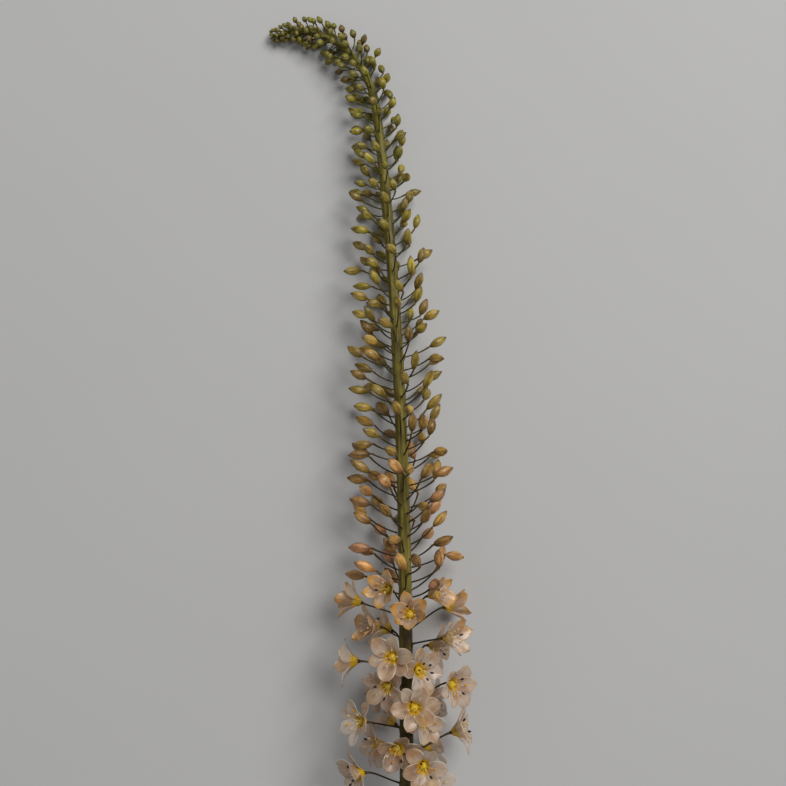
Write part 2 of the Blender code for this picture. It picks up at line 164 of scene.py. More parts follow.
@dataclass
class Surface:
    """Closed surface in millimetres, with values on its points and a material index on each face."""

    points: np.ndarray
    quads: np.ndarray
    triangles: np.ndarray
    values: dict[str, np.ndarray]
    finish: int = 0

    def faced_out(self) -> "Surface":
        """The surface with its faces turned over if they enclose a negative volume.

        Returns:
            This surface.
        """
        corners = self.points[np.vstack([self.quads[:, :3], self.quads[:, [0, 2, 3]], self.triangles])]
        volume = np.einsum("ij,ij->i", corners[:, 0], np.cross(corners[:, 1], corners[:, 2])).sum()
        if volume < 0:
            self.quads = self.quads[:, ::-1]
            self.triangles = self.triangles[:, ::-1]
        return self


def tube_surface(
    rings: np.ndarray, base: np.ndarray, tip: np.ndarray, values: dict, finish: int = 0
) -> Surface:
    """Closed tubes: quads between neighbouring rings, and a fan of triangles from each end ring to its pole.

    Args:
        rings: Points of n tubes with m rings of k sides, (n, m, k, 3).
        base: Pole before the first ring, (n, 3).
        tip: Pole after the last ring, (n, 3).
        values: Name to values on the rings, each (n, m, k) or able to spread to it.
        finish: Index of the material.

    Returns:
        One surface that holds all the tubes.
    """
    n, m, k, _ = rings.shape
    points = np.concatenate([rings.reshape(n, m * k, 3), base[:, None], tip[:, None]], axis=1)
    first = (np.arange(n) * (m * k + 2))[:, None, None]
    ring, side = np.arange(m)[:, None], np.arange(k)
    here, there = ring * k + side, ring * k + (side + 1) % k
    quads = np.stack([here[:-1], there[:-1], there[1:], here[1:]], -1)[None] + first[..., None]
    low = np.stack([np.full(k, m * k), there[0], here[0]], -1)[None] + first
    high = np.stack([here[-1], there[-1], np.full(k, m * k + 1)], -1)[None] + first
    spread = {}
    for name, value in values.items():
        full = np.broadcast_to(value, (n, m, k)).reshape(n, m * k)
        ends = [full[:, :k].mean(1)[:, None], full[:, -k:].mean(1)[:, None]]
        spread[name] = np.concatenate([full, *ends], axis=1).ravel()
    triangles = np.concatenate([low.reshape(-1, 3), high.reshape(-1, 3)])
    return Surface(points.reshape(-1, 3), quads.reshape(-1, 4), triangles, spread, finish).faced_out()


def sheet_surface(middle: np.ndarray, thickness: np.ndarray, values: dict, finish: int = 0) -> Surface:
    """Thin closed sheets: a grid moved by half its thickness along its normals to both sides, and stitched.

    Args:
        middle: Points of n grids with rows and columns, (n, rows, columns, 3).
        thickness: Thickness of the sheet at each point, able to spread to (n, rows, columns).
        values: Name to values, each able to spread to (n, rows, columns). "outer" is added: 1 on the back.
        finish: Index of the material.

    Returns:
        One surface that holds all the sheets.
    """
    n, rows, columns, _ = middle.shape
    normal = unit(np.cross(np.gradient(middle, axis=1), np.gradient(middle, axis=2)))
    half = np.broadcast_to(thickness, (n, rows, columns))[..., None] / 2
    sides = np.stack([middle + normal * half, middle - normal * half], axis=1)
    cell = rows * columns
    first = (np.arange(n) * 2 * cell)[:, None, None]
    index = np.arange(cell).reshape(rows, columns)
    a, b, c, d = (part.ravel() for part in (index[:-1, :-1], index[1:, :-1], index[1:, 1:], index[:-1, 1:]))
    front = np.stack([a, b, c, d], -1)[None] + first
    back = np.stack([d, c, b, a], -1)[None] + first + cell
    rim = np.concatenate([index[0, :-1], index[:-1, -1], index[-1, :0:-1], index[:0:-1, 0]])
    after = np.roll(rim, -1)
    edge = np.stack([rim, after, after + cell, rim + cell], -1)[None] + first
    quads = np.concatenate([part.reshape(-1, 4) for part in (front, back, edge)])
    spread = {"outer": np.broadcast_to(np.array((0.0, 1.0))[None, :, None], (n, 2, cell)).ravel()}
    for name, value in values.items():
        full = np.broadcast_to(value, (n, rows, columns)).reshape(n, 1, cell)
        spread[name] = np.repeat(full, 2, axis=1).ravel()
    return Surface(sides.reshape(-1, 3), quads, np.zeros((0, 3), int), spread, finish).faced_out()


def ring_points(paths: np.ndarray, radii: np.ndarray, sides: int) -> np.ndarray:
    """Round rings along paths, each turned like the ring before it and square to the path.

    Args:
        paths: Points of n paths, (n, m, 3).
        radii: Radius at each point, able to spread to (n, m).
        sides: Points in a ring.

    Returns:
        Points, (n, m, sides, 3).
    """
    n, m, _ = paths.shape
    tangents = unit(np.gradient(paths, axis=1))
    across = np.empty_like(paths)
    hint = np.broadcast_to(HINT, (n, 3))
    for j in range(m):
        hint = across_vectors(tangents[:, j], hint)
        across[:, j] = hint
    other = np.cross(tangents, across)
    spokes = circle(full_turn(sides), across, other)
    return paths[:, :, None] + np.broadcast_to(radii, (n, m))[..., None, None] * spokes


@dataclass(frozen=True)
class SpikeAxis:
    """Middle line of the stem: it leans to -X, nods over at the tip and sinks towards the surface."""

    length: float = 519.0
    start: tuple[float, float] = (20.2, -242.0)
    step: float = 1.0
    lean_angle: float = math.radians(6.5)
    lean_end: float = 412.0
    lean_power: float = 2.2
    nod_angle: float = math.radians(106.0)
    nod_start: float = 426.0
    nod_end: float = 517.0
    nod_power: float = 1.35
    base_height: float = 35.0
    tip_height: float = 4.0
    sag_start: float = 60.0
    sag_power: float = 1.35

    @cached_property
    def samples(self) -> tuple[np.ndarray, np.ndarray]:
        """Distances from the cut end and the points there, from the heading summed up in small steps.

        Returns:
            Distances, (n,), and points, (n, 3).
        """
        along = np.arange(0, self.length + self.step / 2, self.step)
        lean = self.lean_angle * np.clip(along / self.lean_end, 0, 1) ** self.lean_power
        nod_share = np.clip((along - self.nod_start) / (self.nod_end - self.nod_start), 0, 1)
        heading = lean + self.nod_angle * nod_share**self.nod_power
        sag = np.clip((along - self.sag_start) / (self.length - self.sag_start), 0, 1) ** self.sag_power
        height = self.tip_height + (self.base_height - self.tip_height) * (1 - sag)
        level = np.sqrt(self.step**2 - np.diff(height) ** 2)
        middle = (heading[1:] + heading[:-1]) / 2
        x = self.start[0] - np.concatenate([[0], np.cumsum(level * np.sin(middle))])
        y = self.start[1] + np.concatenate([[0], np.cumsum(level * np.cos(middle))])
        return along, np.column_stack([x, y, height])

    def points(self, along: np.ndarray) -> np.ndarray:
        """Points of the axis at distances from the cut end."""
        distances, line = self.samples
        return np.stack([np.interp(along, distances, line[:, k]) for k in range(3)], -1)

    def frames(self, along: np.ndarray) -> tuple[np.ndarray, np.ndarray, np.ndarray, np.ndarray]:
        """Points, tangents, level side directions and upper directions at distances from the cut end.

        Args:
            along: Distances from the cut end, (n,).

        Returns:
            Four arrays, each (n, 3).
        """
        tangent = unit(self.points(along + self.step) - self.points(along - self.step))
        side = unit(np.cross(tangent, UP))
        return self.points(along), tangent, side, np.cross(side, tangent)


@dataclass(frozen=True)
class StationSizes:
    """Sizes at stations along the axis, from the cut end to the tip."""

    station: tuple = (0.0, 54.0, 140.0, 250.0, 330.0, 400.0, 437.0, 470.0, 488.0, 503.0, 519.0)
    stem_radius: tuple = (4.0, 3.8, 3.65, 3.25, 3.0, 2.8, 2.3, 1.75, 1.55, 1.4, 0.5)
    pedicel_length: tuple = (22.0, 22.0, 20.0, 16.5, 13.5, 9.5, 8.2, 6.8, 5.0, 2.8, 0.9)
    pedicel_radius: tuple = (0.52, 0.52, 0.50, 0.46, 0.44, 0.42, 0.40, 0.38, 0.34, 0.30, 0.30)
    bud_length: tuple = (13.5, 13.5, 13.5, 12.4, 10.8, 8.8, 7.4, 5.8, 4.8, 3.8, 2.6)
    bud_width: tuple = (6.4, 6.4, 6.2, 5.6, 5.0, 4.6, 4.4, 4.1, 3.5, 3.0, 1.9)
    bud_spacing: tuple = (1.7, 1.7, 1.6, 1.5, 1.5, 1.45, 1.2, 0.95, 0.75, 0.6, 0.5)
    bract_length: tuple = (3.6, 3.6, 3.4, 3.0, 2.8, 2.8, 3.2, 3.8, 4.2, 4.2, 3.4)

    def at(self, name: str, along: np.ndarray | float) -> np.ndarray:
        """The named size between the stations."""
        return np.interp(along, self.station, getattr(self, name))


@dataclass(frozen=True)
class Sites:
    """Places on the spiral where a flower grows, one row each.

    The columns of the draws, each from -1 to 1, are: 0 azimuth, 1 length and tone, 2 width, tint and how
    far a flower opens, 3 reach, 4 rise, 5 and 6 heading, 7 turn and bend.
    """

    along: np.ndarray
    azimuth: np.ndarray
    draws: np.ndarray

    def part(self, chosen: slice | np.ndarray) -> "Sites":
        """Some of the sites."""
        return Sites(self.along[chosen], self.azimuth[chosen], self.draws[chosen])


@dataclass(frozen=True)
class FlowerSpiral:
    """Golden-angle spiral of the flower sites up the axis, the open flowers first."""

    first_site: float = 54.0
    last_site: float = 516.0
    bloom_count: int = 28
    bloom_spacing: float = 3.75
    golden_angle: float = math.radians(137.508)
    phase: float = math.radians(20.0)
    jitter: float = math.radians(17.0)
    seed: int = 11
    most_sites: int = 500
    draws: int = 8

    def sites(self, sizes: StationSizes) -> Sites:
        """All the sites in the order that they grew.

        Args:
            sizes: Gives the spacing of the buds.

        Returns:
            The sites, each with its distance from the cut end, its azimuth and its random draws.
        """
        drawn = np.random.default_rng(self.seed).uniform(-1, 1, (self.most_sites, self.draws))
        along = [self.first_site]
        while along[-1] < self.last_site:
            open_flower = len(along) < self.bloom_count
            spacing = self.bloom_spacing if open_flower else float(sizes.at("bud_spacing", along[-1]))
            along.append(along[-1] + spacing)
        along.pop()
        number = np.arange(len(along))
        azimuth = self.phase + self.golden_angle * number + self.jitter * drawn[number, 0]
        return Sites(np.array(along), azimuth, drawn[number])


@dataclass
class Spike:
    """The whole spike's rules: axis, sizes and sites, and how a pedicel leaves the stem."""

    axis: SpikeAxis = field(default_factory=SpikeAxis)
    sizes: StationSizes = field(default_factory=StationSizes)
    spiral: FlowerSpiral = field(default_factory=FlowerSpiral)
    root_rise: float = math.radians(14.0)
    end_rise: float = math.radians(42.0)
    rise_jitter: float = math.radians(14.0)
    root_depth: float = 0.45

    @cached_property
    def sites(self) -> Sites:
        """All the sites of the spiral."""
        return self.spiral.sites(self.sizes)

    @property
    def bloom_sites(self) -> Sites:
        """Sites of the open flowers."""
        return self.sites.part(slice(0, self.spiral.bloom_count))

    @property
    def bud_sites(self) -> Sites:
        """Sites of the buds."""
        return self.sites.part(slice(self.spiral.bloom_count, None))

    def outward(self, sites: Sites, turn: np.ndarray | float = 0.0) -> np.ndarray:
        """Directions straight out from the stem, or turned round it from there by an angle.

        Args:
            sites: Sites on the spiral.
            turn: Angle added to their azimuths.

        Returns:
            Unit vectors, (n, 3).
        """
        _, _, side, upper = self.axis.frames(sites.along)
        angle = (sites.azimuth + turn)[:, None]
        return np.cos(angle) * side + np.sin(angle) * upper

    def rising(self, sites: Sites, rise: np.ndarray | float) -> np.ndarray:
        """Outward directions tilted towards the tip by an angle.

        Args:
            sites: Sites on the spiral.
            rise: Angle towards the tip.

        Returns:
            Unit vectors, (n, 3).
        """
        _, tangent, _, _ = self.axis.frames(sites.along)
        rise = np.broadcast_to(rise, sites.along.shape)[:, None]
        return np.cos(rise) * self.outward(sites) + np.sin(rise) * tangent

    def roots(self, sites: Sites) -> np.ndarray:
        """Points where the pedicels start, sunk in the stem."""
        depth = self.sizes.at("stem_radius", sites.along)[:, None] * self.root_depth
        return self.axis.points(sites.along) + self.outward(sites) * depth


@dataclass(frozen=True)
class BudPlaces:
    """Where each bud is: its pedicel's handles, its direction, length and half width."""

    handles: list[np.ndarray]
    end: np.ndarray
    heading: np.ndarray
    length: np.ndarray
    half_width: np.ndarray
    clearance: np.ndarray


@dataclass(frozen=True)
class BudRule:
    """Places the buds: the pedicel bends up towards the tip, and what lies low stays over the surface."""

    turn: float = math.radians(-8.0)
    sway: float = math.radians(30.0)
    drift: float = 0.38
    length_jitter: float = 0.11
    width_jitter: float = 0.4 * 0.22
    reach_jitter: float = 0.22
    belly: float = 0.44
    shoulder: float = 0.77
    shoulder_share: float = 0.66
    floor_clearance: float = 0.05

    def places(self, spike: Spike, sites: Sites) -> BudPlaces:
        """Where the buds of these sites are.

        Args:
            spike: The spike that they grow on.
            sites: Their sites.

        Returns:
            Their places, one row each.
        """
        draws = sites.draws.T
        length = spike.sizes.at("bud_length", sites.along) * (1 + self.length_jitter * draws[1])
        half_width = spike.sizes.at("bud_width", sites.along) / 2 * (1 + self.width_jitter * draws[2])
        reach = spike.sizes.at("pedicel_length", sites.along) * (1 + self.reach_jitter * draws[3])
        reach = reach[:, None]
        root_rise = spike.root_rise + spike.rise_jitter / 2 * draws[4]
        end_rise = spike.end_rise + spike.rise_jitter * draws[4]
        start = spike.roots(sites)
        skin_depth = spike.sizes.at("stem_radius", sites.along)[:, None] * (1 - spike.root_depth)
        skin = start + spike.outward(sites) * skin_depth
        bend = skin + spike.rising(sites, root_rise) * reach / 2
        tip = bend + spike.rising(sites, end_rise) * reach / 2
        clearance = half_width + self.floor_clearance
        end = pressed(tip, clearance)
        _, tangent, _, _ = spike.axis.frames(sites.along)
        sideways = np.cross(tangent, spike.outward(sites))
        heading = spike.rising(sites, end_rise + self.turn + self.sway * draws[5])
        heading = unit(heading + math.sin(self.sway) * draws[6][:, None] * sideways + self.drift * NOD_SIDE)
        heading = self.kept_up(heading, end, length, half_width)
        return BudPlaces([start, skin, bend, tip], end, heading, length, half_width, clearance)

    def kept_up(
        self, heading: np.ndarray, end: np.ndarray, length: np.ndarray, half: np.ndarray
    ) -> np.ndarray:
        """Headings raised where a bud's belly, shoulder or tip would reach below the surface.

        Args:
            heading: Directions of the buds, (n, 3).
            end: Where their pedicels end, (n, 3).
            length: Their lengths, (n,).
            half: Their half widths, (n,).

        Returns:
            Directions, (n, 3).
        """
        share = np.array((self.belly, self.shoulder, 1.0))
        thickness = half[:, None] * np.array((1.0, self.shoulder_share, 0.0))
        needed = (self.floor_clearance + thickness - end[:, 2:]) / (share * length[:, None])
        lowest = needed.max(1)[:, None]
        raised = unit(heading * LEVEL) * np.sqrt(np.clip(1 - lowest**2, 0, 1)) + UP * lowest
        return np.where(heading[:, 2:] < lowest, raised, heading)


@dataclass
class Blooms:
    """Open flowers: base, facing direction, turn about it and how far each is open."""

    sites: Sites
    base: np.ndarray
    facing: np.ndarray
    turn: np.ndarray
    openness: np.ndarray
    pole_gap: float = 0.05

    def to_world(self, local: np.ndarray) -> np.ndarray:
        """Points of each flower, with z along its facing direction, in the model's frame.

        Args:
            local: Points, (flowers, ..., 3).

        Returns:
            Points, (flowers, ..., 3).
        """
        across = across_vectors(self.facing)
        other = np.cross(self.facing, across)
        c, s = np.cos(self.turn)[:, None], np.sin(self.turn)[:, None]
        basis = np.stack([c * across + s * other, c * other - s * across, self.facing], 1)
        shape = local.shape
        moved = np.einsum("fpi,fij->fpj", local.reshape(shape[0], -1, 3), basis)
        return (moved + self.base[:, None]).reshape(shape)

    def turned(
        self, profile: np.ndarray, sides: int, values: dict, finish: int = 0, lobes: float = 0.0
    ) -> list[Surface]:
        """A profile turned round each flower's facing: radius (1 + lobes cos 3 angle) at each height.

        Args:
            profile: Radius and height of each ring, (m, 2).
            sides: Points in a ring.
            values: Name to values on the rings, (m,).
            finish: Index of the material.
            lobes: Depth of three lobes.

        Returns:
            One surface for each flower.
        """
        count, angle = len(self.base), full_turn(sides)
        rings = polar_points(angle, profile[:, :1] * (1 + lobes * np.cos(3 * angle)), profile[:, 1:])
        poles = np.outer((profile[0, 1] - self.pole_gap, profile[-1, 1] + self.pole_gap), UP)
        world = self.to_world(np.broadcast_to(rings, (count, *rings.shape)))
        ends = self.to_world(np.broadcast_to(poles, (count, 2, 3)))
        rows = {name: np.asarray(value)[None, :, None] for name, value in values.items()}
        return [tube_surface(world[[k]], ends[[k], 0], ends[[k], 1], rows, finish) for k in range(count)]


@dataclass(frozen=True)
class BloomRule:
    """Places the open flowers as spheres that are moved until they are clear of each other.

    Every other flower is nearer to the stem, and the surface below turns them all up round the stem.
    """

    sphere: float = 10.0
    bud_sphere: float = 6.8
    stem_clear: float = 10.5
    reach: float = 23.0
    reach_jitter: float = 0.11
    rise_jitter: float = 0.5
    step: float = 0.24
    pull: float = 0.35
    rise: float = 8.5
    back: float = 3.4
    lean: float = 0.10
    lift: float = 0.30
    sway: float = 0.36
    lowest_facing: float = -0.35
    rounds: int = 300
    push: float = 0.5
    home: float = 0.06
    buds: int = 16
    line_step: int = 3
    settle: float = 2.2
    opening_span: float = 11.0
    least_open: float = 0.1
    open_jitter: float = 0.25

    def spread(self, axis: SpikeAxis, homes: np.ndarray, radii: np.ndarray) -> np.ndarray:
        """Sphere centres moved until they are clear of each other, the stem and the surface.

        Args:
            axis: The stem's middle line.
            homes: Centres at first, which draw them back a little, (n, 3).
            radii: Radii of the spheres, (n,).

        Returns:
            Centres, (n, 3).
        """
        centres = homes.copy()
        line = axis.samples[1][:: self.line_step]
        reach = radii[:, None] + radii[None]
        np.fill_diagonal(reach, 0)
        for _ in range(self.rounds):
            between = centres[:, None] - centres[None]
            distance = np.linalg.norm(between, axis=2) + TINY
            short = np.clip(reach - distance, 0, None)
            centres += self.push * (between / distance[..., None] * short[..., None]).sum(1) / 2
            centres += self.home * (homes - centres)
            near = np.linalg.norm(centres[:, None] - line[None], axis=2)
            away = centres - line[near.argmin(1)]
            room = np.linalg.norm(away, axis=1, keepdims=True)
            centres += away / room * np.clip(self.stem_clear + radii[:, None] / 2 - room, 0, None)
            centres[:, 2] = np.maximum(centres[:, 2], radii - self.settle)
        return centres

    def blooms(self, spike: Spike, bud_rule: BudRule) -> Blooms:
        """The open flowers, spread clear of each other and of the lowest buds.

        Args:
            spike: The spike that they grow on.
            bud_rule: Places the lowest buds.

        Returns:
            The flowers, one row each.
        """
        sites = spike.bloom_sites
        draws = sites.draws.T
        point, tangent, _, _ = spike.axis.frames(sites.along)
        step = np.where(np.arange(len(sites.along)) % 2, self.step, -self.step)
        reach = self.reach * (1 + step + self.reach_jitter * draws[3])[:, None]
        rise = self.rise * (1 + self.rise_jitter * draws[4])[:, None]
        homes = point + spike.outward(sites, self.pull * np.cos(sites.azimuth)) * reach + tangent * rise
        buds = bud_rule.places(spike, spike.bud_sites.part(slice(0, self.buds)))
        bud_middles = buds.end + buds.heading * buds.length[:, None] / 2
        radii = np.concatenate([np.full(len(homes), self.sphere), np.full(self.buds, self.bud_sphere)])
        centres = self.spread(spike.axis, np.vstack([homes, bud_middles]), radii)[: len(homes)]
        away = unit(centres - spike.axis.points(sites.along + self.rise))
        sideways = np.cross(tangent, away)
        facing = away + self.lean * tangent + self.lift * UP
        facing = unit(facing + self.sway * (draws[5][:, None] * tangent + draws[6][:, None] * sideways))
        level = unit(facing * LEVEL) * math.sqrt(1 - self.lowest_facing**2) + UP * self.lowest_facing
        facing = np.where(facing[:, 2:] < self.lowest_facing, level, facing)
        return Blooms(sites, centres - facing * self.back, facing, math.pi * draws[7], self.openness(sites))

    def openness(self, sites: Sites) -> np.ndarray:
        """How far each flower is open: it falls to a cup among the youngest, and varies a little."""
        share = np.minimum((len(sites.along) - 0.5 - np.arange(len(sites.along))) / self.opening_span, 1.0)
        return np.maximum(share * (1 - self.open_jitter * np.abs(sites.draws[:, 2])), self.least_open)


class Nodes:
    """Short hand for building a node tree: each call adds a node and gives back its output socket."""

    def __init__(self, tree: bpy.types.NodeTree) -> None:
        """Keeps the tree that the nodes go into."""
        self.tree = tree

    def add(self, kind: str, inputs: dict | None = None, **settings: object) -> bpy.types.Node:
        """A node of a kind, with its settings, and its inputs set or linked.

        Args:
            kind: Blender's name of the node type.
            inputs: Input name or index to a value or to an output socket.
            settings: Properties of the node.

        Returns:
            The node.
        """
        node = self.tree.nodes.new(kind)
        for name, value in settings.items():
            setattr(node, name, value)
        for name, value in (inputs or {}).items():
            if isinstance(value, bpy.types.NodeSocket):
                self.tree.links.new(value, node.inputs[name])
            else:
                node.inputs[name].default_value = value
        return node

    def value(self, name: str) -> bpy.types.NodeSocket:
        """The value of a named attribute."""
        return self.add("ShaderNodeAttribute", attribute_name=name).outputs["Fac"]

    def place(self, name: str) -> bpy.types.NodeSocket:
        """The vector of a named attribute."""
        return self.add("ShaderNodeAttribute", attribute_name=name).outputs["Vector"]

    def math(self, operation: str, *values: object) -> bpy.types.NodeSocket:
        """A Math node on up to three values."""
        return self.add("ShaderNodeMath", dict(enumerate(values)), operation=operation).outputs[0]

    def span(self, value: object, low: float, high: float, start: float = 0.0, end: float = 1.0) -> object:
        """A value mapped from low..high to start..end, and held there outside it."""
        inputs = {"Value": value, "From Min": low, "From Max": high, "To Min": start, "To Max": end}
        return self.add("ShaderNodeMapRange", inputs, interpolation_type="SMOOTHSTEP").outputs["Result"]

    def blend(self, share: object, first: object, second: object, kind: str = "MIX") -> bpy.types.NodeSocket:
        """Two colours mixed by a share.

        Args:
            share: Share of the second colour, 0 to 1.
            first: First colour.
            second: Second colour.
            kind: Blender's name of the blend type.

        Returns:
            The socket of the colour.
        """
        node = self.add("ShaderNodeMix", data_type="RGBA", blend_type=kind)
        sockets = {"Factor_Float": share, "A_Color": first, "B_Color": second}
        by_name = {socket.identifier: socket for socket in node.inputs}
        for name, given in sockets.items():
            if isinstance(given, bpy.types.NodeSocket):
                self.tree.links.new(given, by_name[name])
            else:
                by_name[name].default_value = given
        return next(socket for socket in node.outputs if socket.identifier == "Result_Color")

    def wash(self, share: object, amount: float, first: object, second: object, kind: str = "MIX") -> object:
        """Two colours mixed by a share times an amount."""
        return self.blend(self.math("MULTIPLY", share, amount), first, second, kind)

    def raised(self, first: object, second: object, amount: float) -> bpy.types.NodeSocket:
        """A height plus an amount of another."""
        return self.math("ADD", first, self.math("MULTIPLY", second, amount))

    def ramp(self, share: object, stops: tuple) -> bpy.types.NodeSocket:
        """A colour read from stops of (position, colour).

        Args:
            share: Place on the ramp, 0 to 1.
            stops: Positions and colours, in order.

        Returns:
            The socket of the colour.
        """
        node = self.add("ShaderNodeValToRGB", {"Fac": share})
        elements = node.color_ramp.elements
        elements[0].position, elements[0].color = stops[0]
        elements[1].position, elements[1].color = stops[-1]
        for position, colour in stops[1:-1]:
            elements.new(position).color = colour
        return node.outputs["Color"]

    def noise(self, place: object, scale: float, detail: float = 3.0, roughness: float = 0.55) -> object:
        """Noise of a scale, read at a place."""
        inputs = {"Vector": place, "Scale": scale, "Detail": detail, "Roughness": roughness}
        return self.add("ShaderNodeTexNoise", inputs).outputs["Fac"]


def rgb(red: int, green: int, blue: int) -> tuple[float, float, float, float]:
    """A display colour of 0 to 255 as the linear colour that a shader takes.

    Args:
        red: Red, 0 to 255.
        green: Green, 0 to 255.
        blue: Blue, 0 to 255.

    Returns:
        Red, green, blue and alpha, each 0 to 1.
    """
    display = np.array((red, green, blue)) / 255
    linear = np.where(display <= 0.04045, display / 12.92, ((display + 0.055) / 1.055) ** 2.4)
    return (*(float(part) for part in linear), 1.0)


def new_group(name: str, inputs: dict[str, tuple[str, object]], outputs: dict[str, str]) -> tuple:
    """A shader node group with its sockets.

    Args:
        name: Name of the group.
        inputs: Socket name to (socket type, default).
        outputs: Socket name to socket type.

    Returns:
        The tree, its node helper, the group's input node and its output node.
    """
    tree = bpy.data.node_groups.new(name, "ShaderNodeTree")
    for label, (kind, default) in inputs.items():
        socket = tree.interface.new_socket(name=label, in_out="INPUT", socket_type=kind)
        socket.default_value = default
    for label, kind in outputs.items():
        tree.interface.new_socket(name=label, in_out="OUTPUT", socket_type=kind)
    nodes = Nodes(tree)
    return tree, nodes, nodes.add("NodeGroupInput"), nodes.add("NodeGroupOutput")


class SharedEffects:
    """Node groups that several finishes use, each built once."""

    blotch_span = (0.32, 0.68)
    streak_span = (0.35, 0.65)
    streak_coarseness = 0.3

    def __init__(self) -> None:
        """Builds the groups."""
        self.mottle = self.build_mottle()
        self.fibres = self.build_fibres()

    def build_mottle(self) -> bpy.types.NodeTree:
        """Soft blotches and fine grain: two noises of Object coordinates, for colour and for height.

        Returns:
            The group, with the outputs Blotch and Grain.
        """
        tree, nodes, given, made = new_group(
            "plant_mottle",
            {"Scale": ("NodeSocketFloat", 400.0), "Grain Scale": ("NodeSocketFloat", 2500.0)},
            {"Blotch": "NodeSocketFloat", "Grain": "NodeSocketFloat"},
        )
        place = nodes.add("ShaderNodeTexCoord").outputs["Object"]
        blotch = nodes.noise(place, given.outputs["Scale"], 2.0)
        grain = nodes.noise(place, given.outputs["Grain Scale"], 3.0, 0.6)
        tree.links.new(nodes.span(blotch, *self.blotch_span), made.inputs["Blotch"])
        tree.links.new(grain, made.inputs["Grain"])
        return tree

    def build_fibres(self) -> bpy.types.NodeTree:
        """Lengthwise fibres: noise read at a skin place that is squeezed along the length.

        Returns:
            The group, with the outputs Fibre and Streak.
        """
        tree, nodes, given, made = new_group(
            "lengthwise_fibres",
            {
                "Place": ("NodeSocketVector", (0.0, 0.0, 0.0)),
                "Scale": ("NodeSocketFloat", 1.0),
                "Squeeze": ("NodeSocketFloat", 0.06),
            },
            {"Fibre": "NodeSocketFloat", "Streak": "NodeSocketFloat"},
        )
        parts = nodes.add("ShaderNodeSeparateXYZ", {0: given.outputs["Place"]}).outputs
        length = nodes.math("MULTIPLY", parts["Z"], given.outputs["Squeeze"])
        place = nodes.add("ShaderNodeCombineXYZ", {"X": parts["X"], "Y": parts["Y"], "Z": length}).outputs[0]
        fine = given.outputs["Scale"]
        coarse = nodes.math("MULTIPLY", fine, self.streak_coarseness)
        fibre = nodes.add("ShaderNodeTexNoise", {"Vector": place, "Scale": fine, "Detail": 4.0})
        streak = nodes.add("ShaderNodeTexNoise", {"Vector": place, "Scale": coarse, "Detail": 2.0})
        tree.links.new(fibre.outputs["Fac"], made.inputs["Fibre"])
        tree.links.new(nodes.span(streak.outputs["Fac"], *self.streak_span), made.inputs["Streak"])
        return tree


@dataclass(frozen=True)
class Finish:
    """A finish: its gloss and softness, and how it paints a surface.

    A span holds a value's low and high, and after them what they become where that isn't 0 and 1. A share
    of 0 to 1 says how much of a colour is laid on.
    """

    name: str
    roughness: tuple[float, float] = (0.42, 0.6)
    subsurface: float = 0.0
    subsurface_radius: tuple[float, float, float] = (1.0, 0.5, 0.2)
    subsurface_scale: float = 0.0015
    bump: float = 0.3
    bump_distance: float = 0.0002
    specular: float = 0.5
    blotch_scale: float = 400.0
    grain_scale: float = 2500.0
    fibre_scale: float = 1.0
    fibre_squeeze: float = 0.06

    def material(self, effects: SharedEffects) -> bpy.types.Material:
        """The finish as a material: one Principled shader fed by this finish's colour and relief.

        Args:
            effects: The shared node groups.

        Returns:
            The material.
        """
        made = bpy.data.materials.new(self.name)
        made.use_nodes = True
        tree = made.node_tree
        nodes = Nodes(tree)
        shader = tree.nodes["Principled BSDF"]
        shader.inputs["Subsurface Weight"].default_value = self.subsurface
        shader.inputs["Subsurface Radius"].default_value = self.subsurface_radius
        shader.inputs["Subsurface Scale"].default_value = self.subsurface_scale
        shader.inputs["Specular IOR Level"].default_value = self.specular
        colour, rough, height = self.paint(nodes, effects)
        tree.links.new(colour, shader.inputs["Base Color"])
        tree.links.new(nodes.span(rough, 0.0, 1.0, *self.roughness), shader.inputs["Roughness"])
        relief = {"Strength": self.bump, "Distance": self.bump_distance, "Height": height}
        tree.links.new(nodes.add("ShaderNodeBump", relief).outputs["Normal"], shader.inputs["Normal"])
        alpha = self.alpha(nodes)
        if alpha is not None:
            tree.links.new(alpha, shader.inputs["Alpha"])
        return made

    def alpha(self, nodes: Nodes) -> object | None:
        """The finish's alpha as a socket, or None where it stops all light."""
        return None

    def paint(self, nodes: Nodes, effects: SharedEffects) -> Painted:
        """The finish's colour, its roughness share and its height, as sockets."""
        raise NotImplementedError

    def mottled(self, nodes: Nodes, effects: SharedEffects) -> object:
        """The outputs of a mottle group at this finish's two scales.

        Args:
            nodes: Helper of the material's tree.
            effects: The shared node groups.

        Returns:
            Its outputs by name.
        """
        node = nodes.add("ShaderNodeGroup", node_tree=effects.mottle)
        node.inputs["Scale"].default_value = self.blotch_scale
        node.inputs["Grain Scale"].default_value = self.grain_scale
        return node.outputs

    def fibrous(self, nodes: Nodes, effects: SharedEffects) -> object:
        """The outputs of a fibre group that reads the skin place at this finish's scale.

        Args:
            nodes: Helper of the material's tree.
            effects: The shared node groups.

        Returns:
            Its outputs by name.
        """
        node = nodes.add("ShaderNodeGroup", node_tree=effects.fibres)
        node.inputs["Scale"].default_value = self.fibre_scale
        node.inputs["Squeeze"].default_value = self.fibre_squeeze
        nodes.tree.links.new(nodes.place("skin_place"), node.inputs["Place"])
        return node.outputs


